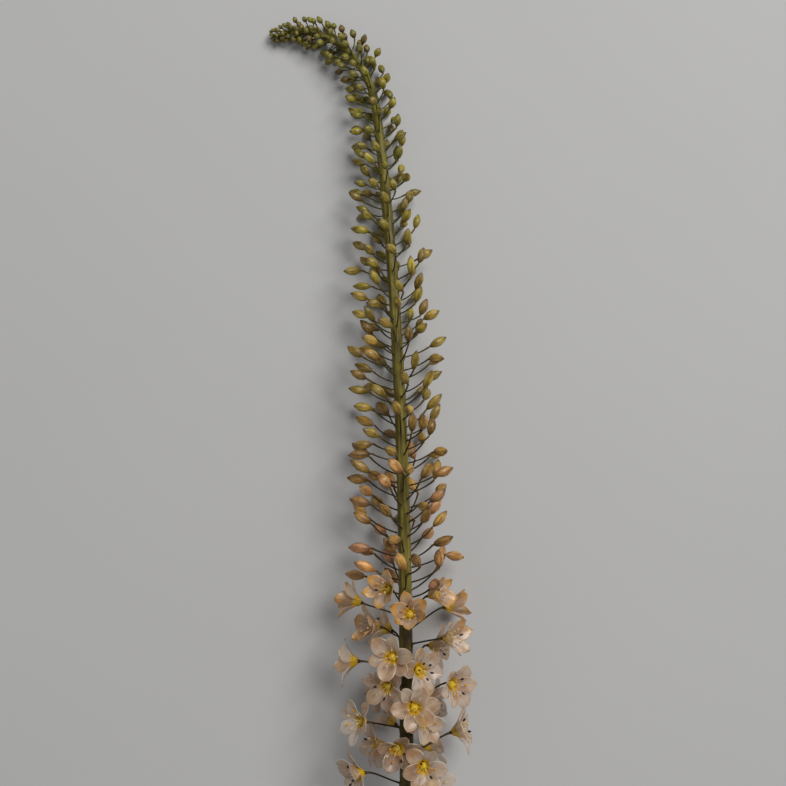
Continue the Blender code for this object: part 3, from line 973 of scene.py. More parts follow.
@dataclass(frozen=True)
class StemSkin(Finish):
    """Olive stem: streaked along its fibres, painted shade among the flowers, brown scars, pale at the cut.
    """

    name: str = "stem_skin"
    roughness: tuple[float, float] = (0.4, 0.58)
    bump: float = 0.5
    specular: float = 0.35
    blotch_scale: float = 160.0
    grain_scale: float = 1800.0
    fibre_scale: float = 2.4
    fibre_squeeze: float = 0.05
    dark: tuple = rgb(78, 68, 16)
    light: tuple = rgb(134, 122, 44)
    young: tuple = rgb(104, 102, 20)
    # Colour of the painted shade that the flowers cast on the stem between them.
    shaded: tuple = rgb(34, 25, 9)
    scar: tuple = rgb(44, 32, 18)
    pith: tuple = rgb(170, 174, 118)
    dark_share: float = 0.4
    young_share: float = 0.7
    pith_share: float = 0.5
    grain_height: float = 0.4
    shade_scale: float = 0.07
    shade_span: tuple = (0.4, 0.6, 0.55, 1.0)

    def paint(self, nodes: Nodes, effects: SharedEffects) -> Painted:
        """Colour by streaks, age, painted shade among the flowers and scars; height by fibres and grain.

        Args:
            nodes: Helper of the material's tree.
            effects: The shared node groups.

        Returns:
            Sockets of the colour, the roughness share and the height.
        """
        fibres = self.fibrous(nodes, effects)
        mottle = self.mottled(nodes, effects)
        skin = nodes.blend(fibres["Streak"], self.dark, self.light)
        patched = nodes.wash(mottle["Blotch"], self.dark_share, skin, self.dark)
        aged = nodes.wash(nodes.value("youth"), self.young_share, patched, self.young)
        # Painted shade: the stem darkens in patches along the length where the flowers around it shade it.
        patches = nodes.noise(nodes.place("skin_place"), self.shade_scale, 2.0)
        among = nodes.math("MULTIPLY", nodes.value("among"), nodes.span(patches, *self.shade_span))
        shaded = nodes.blend(among, aged, self.shaded)
        scarred = nodes.blend(nodes.value("scar"), shaded, self.scar)
        pith = nodes.wash(fibres["Fibre"], self.pith_share, self.pith, self.light)
        colour = nodes.blend(nodes.value("cut"), scarred, pith)
        height = nodes.raised(fibres["Fibre"], mottle["Grain"], self.grain_height)
        return colour, fibres["Streak"], height


@dataclass(frozen=True)
class PedicelSkin(Finish):
    """Thin pedicel: nearly black brown below, olive towards the spike's tip, lighter next to its flower."""

    name: str = "pedicel_skin"
    roughness: tuple[float, float] = (0.5, 0.7)
    specular: float = 0.25
    bump: float = 0.3
    blotch_scale: float = 500.0
    grain_scale: float = 3000.0
    old: tuple = rgb(38, 29, 22)
    young: tuple = rgb(74, 76, 26)
    head: tuple = rgb(104, 84, 36)
    blotch_share: float = 0.2
    head_span: tuple = (0.78, 1.0, 0.0, 0.75)

    def paint(self, nodes: Nodes, effects: SharedEffects) -> Painted:
        """Colour by age and by the way along the pedicel; height by grain.

        Args:
            nodes: Helper of the material's tree.
            effects: The shared node groups.

        Returns:
            Sockets of the colour, the roughness share and the height.
        """
        mottle = self.mottled(nodes, effects)
        base = nodes.blend(nodes.value("youth"), self.old, self.young)
        mixed = nodes.wash(mottle["Blotch"], self.blotch_share, base, self.head)
        ends = nodes.span(nodes.value("way"), *self.head_span)
        return nodes.blend(ends, mixed, self.head), mottle["Blotch"], mottle["Grain"]


@dataclass(frozen=True)
class BudSkin(Finish):
    """Bud: olive near the spike's tip, then gold, ochre, peach; painted shade at seams and foot; brown
    point.
    """

    name: str = "bud_skin"
    roughness: tuple[float, float] = (0.3, 0.46)
    subsurface: float = 0.08
    bump: float = 0.4
    blotch_scale: float = 220.0
    grain_scale: float = 2600.0
    fibre_scale: float = 3.2
    fibre_squeeze: float = 0.25
    stops: tuple = (
        (0.0, rgb(98, 97, 10)),
        (0.2, rgb(114, 108, 18)),
        (0.4, rgb(130, 117, 28)),
        (0.62, rgb(140, 118, 40)),
        (0.84, rgb(152, 116, 50)),
        (1.0, rgb(170, 124, 70)),
    )
    # Pale multiplier: the painted highlight on the buds' bellies, and also the paler tone that some buds
    # have at random.
    highlight_and_pale_tone: tuple = (2.1, 2.15, 2.6, 1.0)
    # Dark multiplier: painted shade in the seams and at the foot, and also darker blotches that the buds
    # have at random.
    painted_shade_and_blotch: tuple = (0.5, 0.4, 0.28, 1.0)
    point: tuple = rgb(62, 42, 18)
    blush: tuple = rgb(200, 146, 110)
    brown: tuple = rgb(96, 66, 30)
    # Pale colour of the painted highlight on the buds' bellies.
    painted_highlight: tuple = rgb(220, 204, 142)
    tint_shift: float = 0.14
    brown_span: tuple = (0.3, 1.0, 0.0, 0.65)
    pale_tone_span: tuple = (-0.2, -1.0, 0.0, 0.5)
    old_span: tuple = (0.72, 0.95)
    tinted_span: tuple = (0.35, 0.95)
    blush_share: float = 0.55
    belly_span: tuple = (0.1, 0.5)
    painted_highlight_span: tuple = (0.45, 0.7, 0.0, 0.5)
    seam_shade_share: float = 0.7
    blotch_share: float = 0.45
    point_span: tuple = (0.76, 1.0, 0.0, 0.85)
    foot_shade_span: tuple = (0.0, 0.26, 0.85, 0.0)
    grain_height: float = 0.5

    def paint(self, nodes: Nodes, effects: SharedEffects) -> Painted:
        """Colour by age, tint and tone, a painted highlight on the belly, painted shade at seams and foot;
        height by fibres and grain.

        Args:
            nodes: Helper of the material's tree.
            effects: The shared node groups.

        Returns:
            Sockets of the colour, the roughness share and the height.
        """
        mottle = self.mottled(nodes, effects)
        fibres = self.fibrous(nodes, effects)
        skin = self.toned(nodes)
        # Painted highlight: pale streaks and flecks laid over the middle of each bud.
        belly = nodes.span(nodes.value("way"), *self.belly_span)
        streaks = nodes.math("MULTIPLY", fibres["Streak"], belly)
        lit = nodes.blend(streaks, skin, self.highlight_and_pale_tone, "MULTIPLY")
        painted_highlight_mask = nodes.math("MULTIPLY", nodes.span(fibres["Fibre"], *self.painted_highlight_span), belly)
        lit = nodes.blend(painted_highlight_mask, lit, self.painted_highlight)
        # Painted shade in the seams between the outer tepals; the blotches after it are the buds' own darker
        # patches.
        seam_shaded = nodes.wash(nodes.value("rib"), self.seam_shade_share, lit, self.painted_shade_and_blotch, "MULTIPLY")
        patched = nodes.wash(mottle["Blotch"], self.blotch_share, seam_shaded, self.painted_shade_and_blotch, "MULTIPLY")
        pointed = nodes.blend(nodes.span(nodes.value("way"), *self.point_span), patched, self.point)
        # Painted shade over the foot of the bud, next to its pedicel.
        foot = nodes.span(nodes.value("way"), *self.foot_shade_span)
        colour = nodes.blend(foot, pointed, self.painted_shade_and_blotch, "MULTIPLY")
        height = nodes.raised(fibres["Fibre"], mottle["Grain"], self.grain_height)
        return colour, mottle["Blotch"], height

    def toned(self, nodes: Nodes) -> object:
        """The bud's own colour: by its age and tint, browner or paler by its tone, pink on some old buds.

        Args:
            nodes: Helper of the material's tree.

        Returns:
            The socket of the colour.
        """
        tint, tone = nodes.value("tint"), nodes.value("tone")
        skin = nodes.ramp(nodes.math("MULTIPLY_ADD", tint, self.tint_shift, nodes.value("age")), self.stops)
        skin = nodes.blend(nodes.span(tone, *self.brown_span), skin, self.brown)
        # Some buds are paler at random by their tone.
        skin = nodes.blend(nodes.span(tone, *self.pale_tone_span), skin, self.highlight_and_pale_tone, "MULTIPLY")
        old = nodes.span(nodes.value("age"), *self.old_span)
        pink = nodes.math("MULTIPLY", old, nodes.span(tint, *self.tinted_span))
        return nodes.wash(pink, self.blush_share, skin, self.blush)


@dataclass(frozen=True)
class TepalSkin(Finish):
    """Thin tepal that light passes through: pale beige, gold at the throat, gold and brown where young."""

    name: str = "tepal_skin"
    roughness: tuple[float, float] = (0.2, 0.36)
    specular: float = 0.75
    subsurface: float = 0.45
    subsurface_radius: tuple[float, float, float] = (1.0, 0.8, 0.65)
    subsurface_scale: float = 0.003
    bump: float = 0.5
    blotch_scale: float = 120.0
    grain_scale: float = 2200.0
    pale: tuple = rgb(236, 206, 178)
    blush: tuple = rgb(190, 144, 108)
    bright: tuple = rgb(244, 232, 216)
    withered: tuple = rgb(148, 98, 60)
    # Pale cream of the painted highlight along the tepals' rims, where they catch the light.
    edge: tuple = rgb(240, 222, 190)
    gold: tuple = rgb(220, 150, 52)
    brown: tuple = rgb(128, 74, 26)
    throat: tuple = rgb(232, 176, 16)
    rib: tuple = rgb(150, 108, 72)
    vein_count: float = 34.0
    vein_span: tuple = (0.35, 1.0)
    vein_share: float = 0.22
    vein_height: float = 0.6
    grain_height: float = 0.3
    bright_span: tuple = (0.0, -1.0, 0.0, 0.85)
    withered_span: tuple = (0.1, 1.0, 0.0, 0.75)
    rim_highlight_span: tuple = (0.84, 1.0, 0.0, 0.7)
    rib_span: tuple = (0.03, 0.16, 1.0, 0.0)
    rib_share: float = 0.12
    rib_share_behind: float = 0.4
    throat_span: tuple = (0.26, 0.4, 1.0, 0.0)
    unevenness: float = 0.16
    tip_span: tuple = (0.58, 1.0)
    rim_span: tuple = (0.5, 1.0)
    rim_share: float = 0.65
    brown_span: tuple = (0.92, 1.1, 0.0, 0.8)
    blade_alpha: float = 0.46
    thick_throat: tuple = (0.2, 0.5, 1.0, 0.0)
    thick_rib: tuple = (0.0, 0.25, 0.5, 0.0)
    thick_rim: tuple = (0.75, 0.98, 0.0, 0.7)
    thick_tip: tuple = (0.5, 0.95, 0.25, 1.0)

    def paint(self, nodes: Nodes, effects: SharedEffects) -> Painted:
        """Colour by veins, the tepal's tone, throat, a painted highlight on its rims and youth; height by
        veins.

        Args:
            nodes: Helper of the material's tree.
            effects: The shared node groups.

        Returns:
            Sockets of the colour, the roughness share and the height.
        """
        mottle = self.mottled(nodes, effects)
        across, tone = nodes.value("across"), nodes.value("tone")
        side = nodes.math("ABSOLUTE", across)
        wave = nodes.math("SINE", nodes.math("MULTIPLY", across, self.vein_count))
        veins = nodes.span(wave, *self.vein_span)
        skin = nodes.blend(mottle["Blotch"], self.pale, self.blush)
        lit = nodes.blend(nodes.span(tone, *self.bright_span), skin, self.bright)
        worn = nodes.blend(nodes.span(tone, *self.withered_span), lit, self.withered)
        veined = nodes.wash(veins, self.vein_share, worn, self.blush)
        # Painted highlight: the rims are made pale cream.
        rim_highlighted = nodes.blend(nodes.span(side, *self.rim_highlight_span), veined, self.edge)
        youthful = self.ripened(nodes, rim_highlighted, side, mottle["Blotch"])
        share = nodes.math("MULTIPLY_ADD", nodes.value("outer"), self.rib_share_behind, self.rib_share)
        rib = nodes.math("MULTIPLY", nodes.span(side, *self.rib_span), share)
        ribbed = nodes.blend(rib, youthful, self.rib)
        colour = nodes.blend(nodes.span(nodes.value("way"), *self.throat_span), ribbed, self.throat)
        ridges = nodes.math("MULTIPLY", veins, self.vein_height)
        return colour, mottle["Blotch"], nodes.raised(ridges, mottle["Grain"], self.grain_height)

    def ripened(self, nodes: Nodes, skin: object, side: object, blotch: object) -> object:
        """A young tepal's gold towards its tip and rims, and brown at the very tip, with uneven bounds.

        Args:
            nodes: Helper of the material's tree.
            skin: Colour so far.
            side: Distance from the midrib, 0 to 1.
            blotch: Soft blotches, 0 to 1.

        Returns:
            The socket of the colour.
        """
        way = nodes.math("MULTIPLY_ADD", blotch, self.unevenness, nodes.value("way"))
        rim = nodes.math("MULTIPLY", nodes.span(side, *self.rim_span), self.rim_share)
        reach = nodes.math("MAXIMUM", nodes.span(way, *self.tip_span), rim)
        youth = nodes.value("youth")
        golden = nodes.blend(nodes.math("MULTIPLY", reach, youth), skin, self.gold)
        browned = nodes.math("MULTIPLY", nodes.span(way, *self.brown_span), youth)
        return nodes.blend(browned, golden, self.brown)

    def alpha(self, nodes: Nodes) -> object:
        """How much light each side stops: least in the blade, all at the throat and a young tip.

        Args:
            nodes: Helper of the material's tree.

        Returns:
            The socket of the alpha.
        """
        way, side = nodes.value("way"), nodes.math("ABSOLUTE", nodes.value("across"))
        throat, tip = nodes.span(way, *self.thick_throat), nodes.span(way, *self.thick_tip)
        rib, rim = nodes.span(side, *self.thick_rib), nodes.span(side, *self.thick_rim)
        young = nodes.math("MULTIPLY", nodes.value("youth"), tip)
        thick = nodes.math("MAXIMUM", nodes.math("MAXIMUM", throat, rim), nodes.math("MAXIMUM", rib, young))
        return nodes.span(thick, 0.0, 1.0, self.blade_alpha, 1.0)


@dataclass(frozen=True)
class PlainTissue(Finish):
    """Soft tissue of two colours: it goes from one to the other along the piece, with fine grain."""

    name: str = "tissue"
    blotch_scale: float = 700.0
    grain_scale: float = 3000.0
    start: tuple = rgb(200, 190, 90)
    end: tuple = rgb(230, 220, 190)
    spots: tuple = rgb(160, 140, 60)
    spot_share: float = 0.3

    def paint(self, nodes: Nodes, effects: SharedEffects) -> Painted:
        """Colour by the way along the piece and by blotches; height by grain.

        Args:
            nodes: Helper of the material's tree.
            effects: The shared node groups.

        Returns:
            Sockets of the colour, the roughness share and the height.
        """
        mottle = self.mottled(nodes, effects)
        base = nodes.blend(nodes.value("way"), self.start, self.end)
        colour = nodes.wash(mottle["Blotch"], self.spot_share, base, self.spots)
        return colour, mottle["Blotch"], mottle["Grain"]


@dataclass(frozen=True)
class AntherSkin(Finish):
    """Anther: orange with pollen where it has just opened, then straw, and dark brown where it is spent."""

    name: str = "anther_skin"
    roughness: tuple[float, float] = (0.7, 0.9)
    bump: float = 0.8
    blotch_scale: float = 900.0
    grain_scale: float = 5200.0
    fresh: tuple = rgb(216, 144, 22)
    straw: tuple = rgb(206, 186, 140)
    spent: tuple = rgb(36, 22, 16)
    pollen: tuple = rgb(238, 190, 60)
    pollen_span: tuple = (0.5, 0.62)
    straw_span: tuple = (0.25, 0.45)
    spent_span: tuple = (0.6, 0.9)

    def paint(self, nodes: Nodes, effects: SharedEffects) -> Painted:
        """Colour by how spent the anther is, from 0 to 1, with grains of pollen on a fresh one.

        Args:
            nodes: Helper of the material's tree.
            effects: The shared node groups.

        Returns:
            Sockets of the colour, the roughness share and the height.
        """
        mottle = self.mottled(nodes, effects)
        spent = nodes.value("spent")
        fresh = nodes.blend(nodes.span(mottle["Grain"], *self.pollen_span), self.fresh, self.pollen)
        faded = nodes.blend(nodes.span(spent, *self.straw_span), fresh, self.straw)
        colour = nodes.blend(nodes.span(spent, *self.spent_span), faded, self.spent)
        return colour, mottle["Blotch"], mottle["Grain"]


@dataclass(frozen=True)
class OvarySkin(PlainTissue):
    """Ovary: green at its foot, yellow towards the style."""

    name: str = "ovary_skin"
    roughness: tuple[float, float] = (0.3, 0.5)
    subsurface: float = 0.25
    start: tuple = rgb(176, 164, 20)
    end: tuple = rgb(236, 200, 34)
    spots: tuple = rgb(150, 132, 16)


@dataclass(frozen=True)
class FilamentSkin(PlainTissue):
    """Filament and style: yellow at the root, nearly white further out."""

    name: str = "filament_skin"
    roughness: tuple[float, float] = (0.4, 0.55)
    subsurface: float = 0.3
    start: tuple = rgb(226, 190, 60)
    end: tuple = rgb(232, 214, 192)
    spots: tuple = rgb(206, 176, 120)


@dataclass(frozen=True)
class BractSkin(PlainTissue):
    """Bract: dry olive, lighter towards its point."""

    name: str = "bract_skin"
    roughness: tuple[float, float] = (0.55, 0.75)
    subsurface: float = 0.1
    start: tuple = rgb(92, 86, 30)
    end: tuple = rgb(126, 116, 56)
    spots: tuple = rgb(66, 52, 18)


@dataclass
class Palette:
    """Every finish of the spike as a material, built once."""

    effects: SharedEffects = field(default_factory=SharedEffects)

    def __post_init__(self) -> None:
        """Builds the materials."""
        self.stem = StemSkin().material(self.effects)
        self.pedicel = PedicelSkin().material(self.effects)
        self.bud = BudSkin().material(self.effects)
        self.tepal = TepalSkin().material(self.effects)
        self.anther = AntherSkin().material(self.effects)
        self.ovary = OvarySkin().material(self.effects)
        self.filament = FilamentSkin().material(self.effects)
        self.bract = BractSkin().material(self.effects)


def make_piece(
    name: str, surfaces: list[Surface], materials: list, nodes: list[str]
) -> bpy.types.Object:
    """A shown piece of one or more closed surfaces, riding on the spike and standing for its solids.

    Args:
        name: Name of the piece.
        surfaces: Its surfaces.
        materials: Its materials, in the order of the surfaces' finish indices.
        nodes: Nodes that it stands for.

    Returns:
        The object, at the origin, with its place in its mesh.
    """
    offsets = np.cumsum([0] + [len(surface.points) for surface in surfaces])
    points = np.vstack([surface.points for surface in surfaces]) * MM
    faces: list[list[int]] = []
    finish: list[np.ndarray] = []
    for surface, offset in zip(surfaces, offsets):
        faces += (surface.quads + offset).tolist() + (surface.triangles + offset).tolist()
        finish.append(np.full(len(surface.quads) + len(surface.triangles), surface.finish))
    mesh = bpy.data.meshes.new(name)
    mesh.from_pydata(points.tolist(), [], faces)
    for material in materials:
        mesh.materials.append(material)
    mesh.polygons.foreach_set("material_index", np.concatenate(finish).astype(np.int32))
    mesh.shade_smooth()
    for label in sorted({label for surface in surfaces for label in surface.values}):
        parts = [surface.values.get(label, np.zeros(len(surface.points))) for surface in surfaces]
        if any(part.ndim == 2 for part in parts):
            parts = [part if part.ndim == 2 else np.zeros((len(part), 3)) for part in parts]
            layer, key = mesh.attributes.new(label, "FLOAT_VECTOR", "POINT"), "vector"
        else:
            layer, key = mesh.attributes.new(label, "FLOAT", "POINT"), "value"
        layer.data.foreach_set(key, np.concatenate(parts).astype(np.float32).ravel())
    made = bpy.data.objects.new(name, mesh)
    bpy.context.scene.collection.objects.link(made)
    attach(made, BODY)
    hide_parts(*nodes)
    log.info("%s: %d points, %d faces", name, len(points), len(faces))
    return made


@dataclass
class MainStem:
    """The ribbed stem, from its cut end to the nodding tip."""

    spike: Spike
    palette: Palette
    rings: int = 420
    sides: int = 44
    tip_inset: float = 1.5
    rib_count: int = 9
    rib_depth: float = 0.012
    scar_height: float = 0.34
    scar_spread: float = 1.0
    scar_shift: float = 0.4
    scar_span: tuple[float, float] = (0.35, 0.95)
    scar_share: float = 0.7
    ridge_height: float = 0.22
    ridge_width: float = 0.75
    ridge_length: float = 7.0
    ridge_onset: tuple[float, float] = (-1.0, 1.0)
    full_relief_radius: float = 4.0
    # Distances along the stem over which the flowers' painted shade rises, holds and fades, and how dark it
    # gets.
    flower_shade_bounds: tuple[float, float, float, float] = (44.0, 58.0, 135.0, 172.0)
    flower_shade_share: float = 0.95
    young_span: tuple[float, float] = (330.0, 470.0)
    cut_rings: tuple[float, ...] = (0.3, 0.62, 0.88, 0.97)

    def build(self) -> bpy.types.Object:
        """The stem as one piece: a ribbed tube of the station radius times 1 + depth cos(ribs angle).

        Returns:
            The piece.
        """
        axis, sizes = self.spike.axis, self.spike.sizes
        along = np.linspace(0.0, axis.length - self.tip_inset, self.rings)
        _, _, side, upper = axis.frames(np.clip(along, axis.step, axis.length - axis.step))
        point, angle = axis.points(along), full_turn(self.sides)
        radius = sizes.at("stem_radius", along)[:, None]
        height, scar = self.relief(along, angle, radius)
        skin = radius * (1 + self.rib_depth * np.cos(self.rib_count * angle))
        skin = skin + np.minimum(radius / self.full_relief_radius, 1) * height
        rings = point[:, None] + skin[..., None] * circle(angle, side, upper)
        cuts = np.array(self.cut_rings)[:, None]
        rings = np.concatenate([point[0] + cuts[..., None] * (rings[0] - point[0]), rings])[None]
        distance = np.concatenate([np.zeros(len(cuts)), along])[:, None]
        tip = axis.points(np.array([axis.length]))
        surface = tube_surface(rings, point[:1], tip, self.values(distance, scar))
        place = polar_points(angle, np.concatenate([cuts * radius[:1], radius]), distance)
        surface.values["skin_place"] = np.vstack([place.reshape(-1, 3), (0, 0, 0), (0, 0, axis.length)])
        return make_piece("main_stem", [surface], [self.palette.stem], [STALK_NODE])

    def relief(self, along: np.ndarray, angle: np.ndarray, radius: np.ndarray) -> tuple:
        """Relief at the feet of the pedicels.

        Each foot has a rounded swelling, exp(-(distance / spread)^2), and a low ridge that runs down the
        stem from it, exp(-(sideways / width)^2) exp(-below / length).

        Args:
            along: Distances of the rings from the cut end, (m,).
            angle: Angles round the stem, (k,).
            radius: Radii of the rings, (m, 1).

        Returns:
            Height over the stem, (m, k), and how much of a scar each point is, (m, k).
        """
        sites = self.spike.sites
        sideways = (angle[None, :, None] - sites.azimuth + math.pi) % (2 * math.pi) - math.pi
        sideways = sideways * radius[..., None]
        gap = np.hypot(sideways, along[:, None, None] - sites.along + self.scar_shift)
        swelling = np.exp(-((gap / self.scar_spread) ** 2)).max(-1)
        below = sites.along - along[:, None, None]
        run = np.exp(-np.abs(below) / self.ridge_length) * smooth_step(below, *self.ridge_onset)
        ridge = (np.exp(-((sideways / self.ridge_width) ** 2)) * run).max(-1)
        height = self.scar_height * swelling + self.ridge_height * ridge
        return height, smooth_step(swelling, *self.scar_span)

    def values(self, distance: np.ndarray, scar: np.ndarray) -> dict[str, np.ndarray]:
        """Values for the finish, on the rings of the cut and then on those of the stem.

        Args:
            distance: Distances of all the rings from the cut end, (rings, 1).
            scar: How much of a scar each point of the stem is.

        Returns:
            Name to values.
        """
        lead = len(self.cut_rings)
        first, last = self.flower_shade_bounds[:2], self.flower_shade_bounds[2:]
        return {
            "cut": np.concatenate([np.ones(lead - 1), np.zeros(self.rings + 1)])[:, None],
            "scar": np.vstack([np.zeros((lead, self.sides)), scar]) * self.scar_share,
            "youth": smooth_step(distance, *self.young_span),
            # Painted shade of the flowers on the stem between them.
            "among": self.flower_shade_share * smooth_step(distance, *first) * (1 - smooth_step(distance, *last)),
        }


@dataclass
class Pedicels:
    """The thin pedicels of the buds and of the open flowers."""

    spike: Spike
    palette: Palette
    rings: int = 9
    bloom_rings: int = 13
    sides: int = 6
    root_flare: float = 0.8
    root_reach: float = 0.1
    head_flare: float = 0.55
    head_reach: float = 0.12
    thinning: float = 0.92
    flower_lead: float = 5.0
    flower_gap: float = 1.0
    needle_clearance: float = 0.7
    young_span: tuple[float, float] = (180.0, 440.0)

    def tubes(self, paths: np.ndarray, sites: Sites) -> Surface:
        """Tubes with radius r (1 + root exp(-(t/a)^2) + head exp(-((1-t)/b)^2)), a and b being reaches.

        Args:
            paths: Points, (n, rings, 3).
            sites: Sites of the pedicels.

        Returns:
            The tubes as one surface.
        """
        t = np.linspace(0, 1, paths.shape[1])
        root = self.root_flare * np.exp(-((t / self.root_reach) ** 2))
        head = self.head_flare * np.exp(-(((1 - t) / self.head_reach) ** 2))
        radius = self.spike.sizes.at("pedicel_radius", sites.along)[:, None]
        rings = ring_points(paths, radius * self.thinning * (1 + root + head), self.sides)
        youth = smooth_step(sites.along, *self.young_span)[:, None, None]
        return tube_surface(rings, paths[:, 0], paths[:, -1], {"way": t[None, :, None], "youth": youth})

    def bud_pedicels(self, places: BudPlaces) -> Surface:
        """Pedicels that end inside their buds."""
        paths = cubic_curve(places.handles, np.linspace(0, 1, self.rings))
        return self.tubes(pressed(paths, places.clearance[:, None]), self.spike.bud_sites)

    def bloom_pedicels(self, blooms: Blooms) -> Surface:
        """Pedicels that end in the receptacles of the open flowers.

        Args:
            blooms: The open flowers.

        Returns:
            The tubes as one surface.
        """
        start = self.spike.roots(blooms.sites)
        lead = (self.spike.sizes.at("stem_radius", blooms.sites.along) + self.flower_lead)[:, None]
        first = start + self.spike.rising(blooms.sites, self.spike.root_rise) * lead
        end = blooms.base - blooms.facing * self.flower_gap
        last = end - blooms.facing * self.flower_lead
        paths = cubic_curve([start, first, last, end], np.linspace(0, 1, self.bloom_rings))
        return self.tubes(pressed(paths, self.needle_clearance), blooms.sites)

    def build(self, places: BudPlaces, blooms: Blooms) -> bpy.types.Object:
        """All the pedicels as one piece."""
        surfaces = [self.bud_pedicels(places), self.bloom_pedicels(blooms)]
        return make_piece("pedicels", surfaces, [self.palette.pedicel], [STALK_NODE])


@dataclass
class Buds:
    """The closed buds, with three shallow furrows between their outer tepals."""

    spike: Spike
    palette: Palette
    seed: int = 5
    sides: int = 9
    tepals: int = 3
    way: tuple[float, ...] = (0.03, 0.18, 0.4, 0.6, 0.8, 0.95)
    belly: float = 0.5
    rise_power: float = 0.95
    fall_powers: tuple[float, float] = (1.15, 0.9)
    least_radius: float = 0.1
    furrow: float = 0.13
    length_share: float = 0.96
    base_share: float = 0.03
    bend: float = 0.09
    floor_bend: tuple[float, float] = (0.05, 0.3)
    oldest: float = 158.0
    youngest: float = 470.0
    place_length: float = 4.0
    place_scale: float = 2.0
    place_step: tuple[float, float, float] = (3.7, 1.9, 0.0)

    def profile(self, t: np.ndarray) -> np.ndarray:
        """Radius along a bud as a share of its half width.

        It rises as (1 - (1 - t/belly)^2)^0.95 to the belly, then falls to the point as the cosine of a
        quarter turn times past^1.15, to the power 0.9, where past goes from 0 at the belly to 1.

        Args:
            t: The way along in 0..1, (rings,).

        Returns:
            Shares, (rings,).
        """
        rise = np.clip(1 - (1 - np.minimum(t, self.belly) / self.belly) ** 2, 0, 1) ** self.rise_power
        inner, outer = self.fall_powers
        past = np.clip((t - self.belly) / (1 - self.belly), 0, 1)
        return np.maximum(rise * np.cos(math.pi / 2 * past**inner) ** outer, self.least_radius)

    def build(self, places: BudPlaces) -> bpy.types.Object:
        """All the buds as one piece.

        Round a bud, the radius falls by furrow (1 + cos(3 angle)) / 2 at the seams between three outer
        tepals. Its middle bends sideways by bend sin(pi t).

        Args:
            places: Where the buds are.

        Returns:
            The piece.
        """
        sites = self.spike.bud_sites
        tone = np.random.default_rng(self.seed).uniform(-1, 1, len(sites.along))
        t, angle = np.array(self.way), full_turn(self.sides)
        profile = self.profile(t)
        heading, length = places.heading, self.length_share * places.length[:, None]
        across = across_vectors(heading)
        seam = (1 + np.cos(self.tepals * angle)) / 2
        lean = self.bend * sites.draws[:, 7][:, None] * np.sin(math.pi * t)
        middle = places.end[:, None] + heading[:, None] * (length * t)[..., None]
        middle = middle + across[:, None] * (length * lean)[..., None]
        radius = places.half_width[:, None, None] * profile[:, None] * (1 - self.furrow * seam)
        spokes = circle(angle, across, np.cross(heading, across))
        rings = pressed(middle[:, :, None] + radius[..., None] * spokes[:, None], *self.floor_bend)
        age = 1 - np.clip((sites.along - self.oldest) / (self.youngest - self.oldest), 0, 1)
        values = {
            "way": t[None, :, None],
            "age": age[:, None, None],
            "tint": sites.draws[:, 2][:, None, None],
            "tone": tone[:, None, None],
            "rib": seam,
        }
        base = places.end - heading * self.base_share * length
        surface = tube_surface(rings, base, places.end + heading * length, values)
        skin = polar_points(angle, profile[:, None], t[:, None] * self.place_length).reshape(-1, 3)
        skin = np.vstack([skin, (0, 0, 0), (0, 0, self.place_length)]) * self.place_scale
        number = np.arange(len(sites.along))[:, None, None] * np.array(self.place_step)
        surface.values["skin_place"] = (skin[None] + number).reshape(-1, 3)
        return make_piece("buds", [surface], [self.palette.bud], [STALK_NODE])


@dataclass
class Bracts:
    """The small papery bracts, one under each pedicel."""

    spike: Spike
    palette: Palette
    rows: int = 6
    columns: int = 3
    length_jitter: float = 0.2
    width_share: float = 0.2
    taper_power: float = 1.4
    least_width: float = 0.06
    fold: float = 0.35
    thickness: float = 0.12
    rise: float = math.radians(38.0)
    curl: float = math.radians(24.0)
    drop: float = 0.7
    skin_share: float = 0.92
    floor_bend: tuple[float, float] = (0.2, 0.5)

    def summed(self, steps: np.ndarray) -> np.ndarray:
        """Steps from row to row summed from the foot, as shares of the length."""
        return np.concatenate([[0], np.cumsum(steps)]) / (self.rows - 1)

    def build(self) -> bpy.types.Object:
        """All the bracts as one piece.

        Each is a thin blade that narrows to a fine point as 1 - t^1.4. Its angle from straight out grows
        evenly towards the point, and its edges fold up by fold half u^2.

        Returns:
            The piece.
        """
        sites = self.spike.sites
        _, tangent, _, _ = self.spike.axis.frames(sites.along)
        outward = self.spike.outward(sites)
        sideways = np.cross(tangent, outward)
        radius = self.spike.sizes.at("stem_radius", sites.along)[:, None]
        jitter = 1 + self.length_jitter * sites.draws[:, 1]
        length = (self.spike.sizes.at("bract_length", sites.along) * jitter)[:, None]
        foot = self.spike.axis.points(sites.along) + outward * radius * self.skin_share - tangent * self.drop
        t, u = np.linspace(0, 1, self.rows), np.linspace(-1, 1, self.columns)
        angle = self.rise + self.curl * t[1:]
        run, climb = self.summed(np.cos(angle)), self.summed(np.sin(angle))
        way = run[:, None] * outward[:, None] + climb[:, None] * tangent[:, None]
        spine = foot[:, None] + length[..., None] * way
        half = self.width_share * length * np.maximum(1 - t**self.taper_power, self.least_width)
        fold = self.fold * (u**2)[None, None, :, None] * half[..., None, None] * tangent[:, None, None]
        middle = spine[:, :, None] + (half[..., None] * u)[..., None] * sideways[:, None, None] + fold
        middle = pressed(middle, *self.floor_bend)
        surface = sheet_surface(middle, np.array(self.thickness), {"way": t[None, :, None]})
        return make_piece("bracts", [surface], [self.palette.bract], [STALK_NODE])


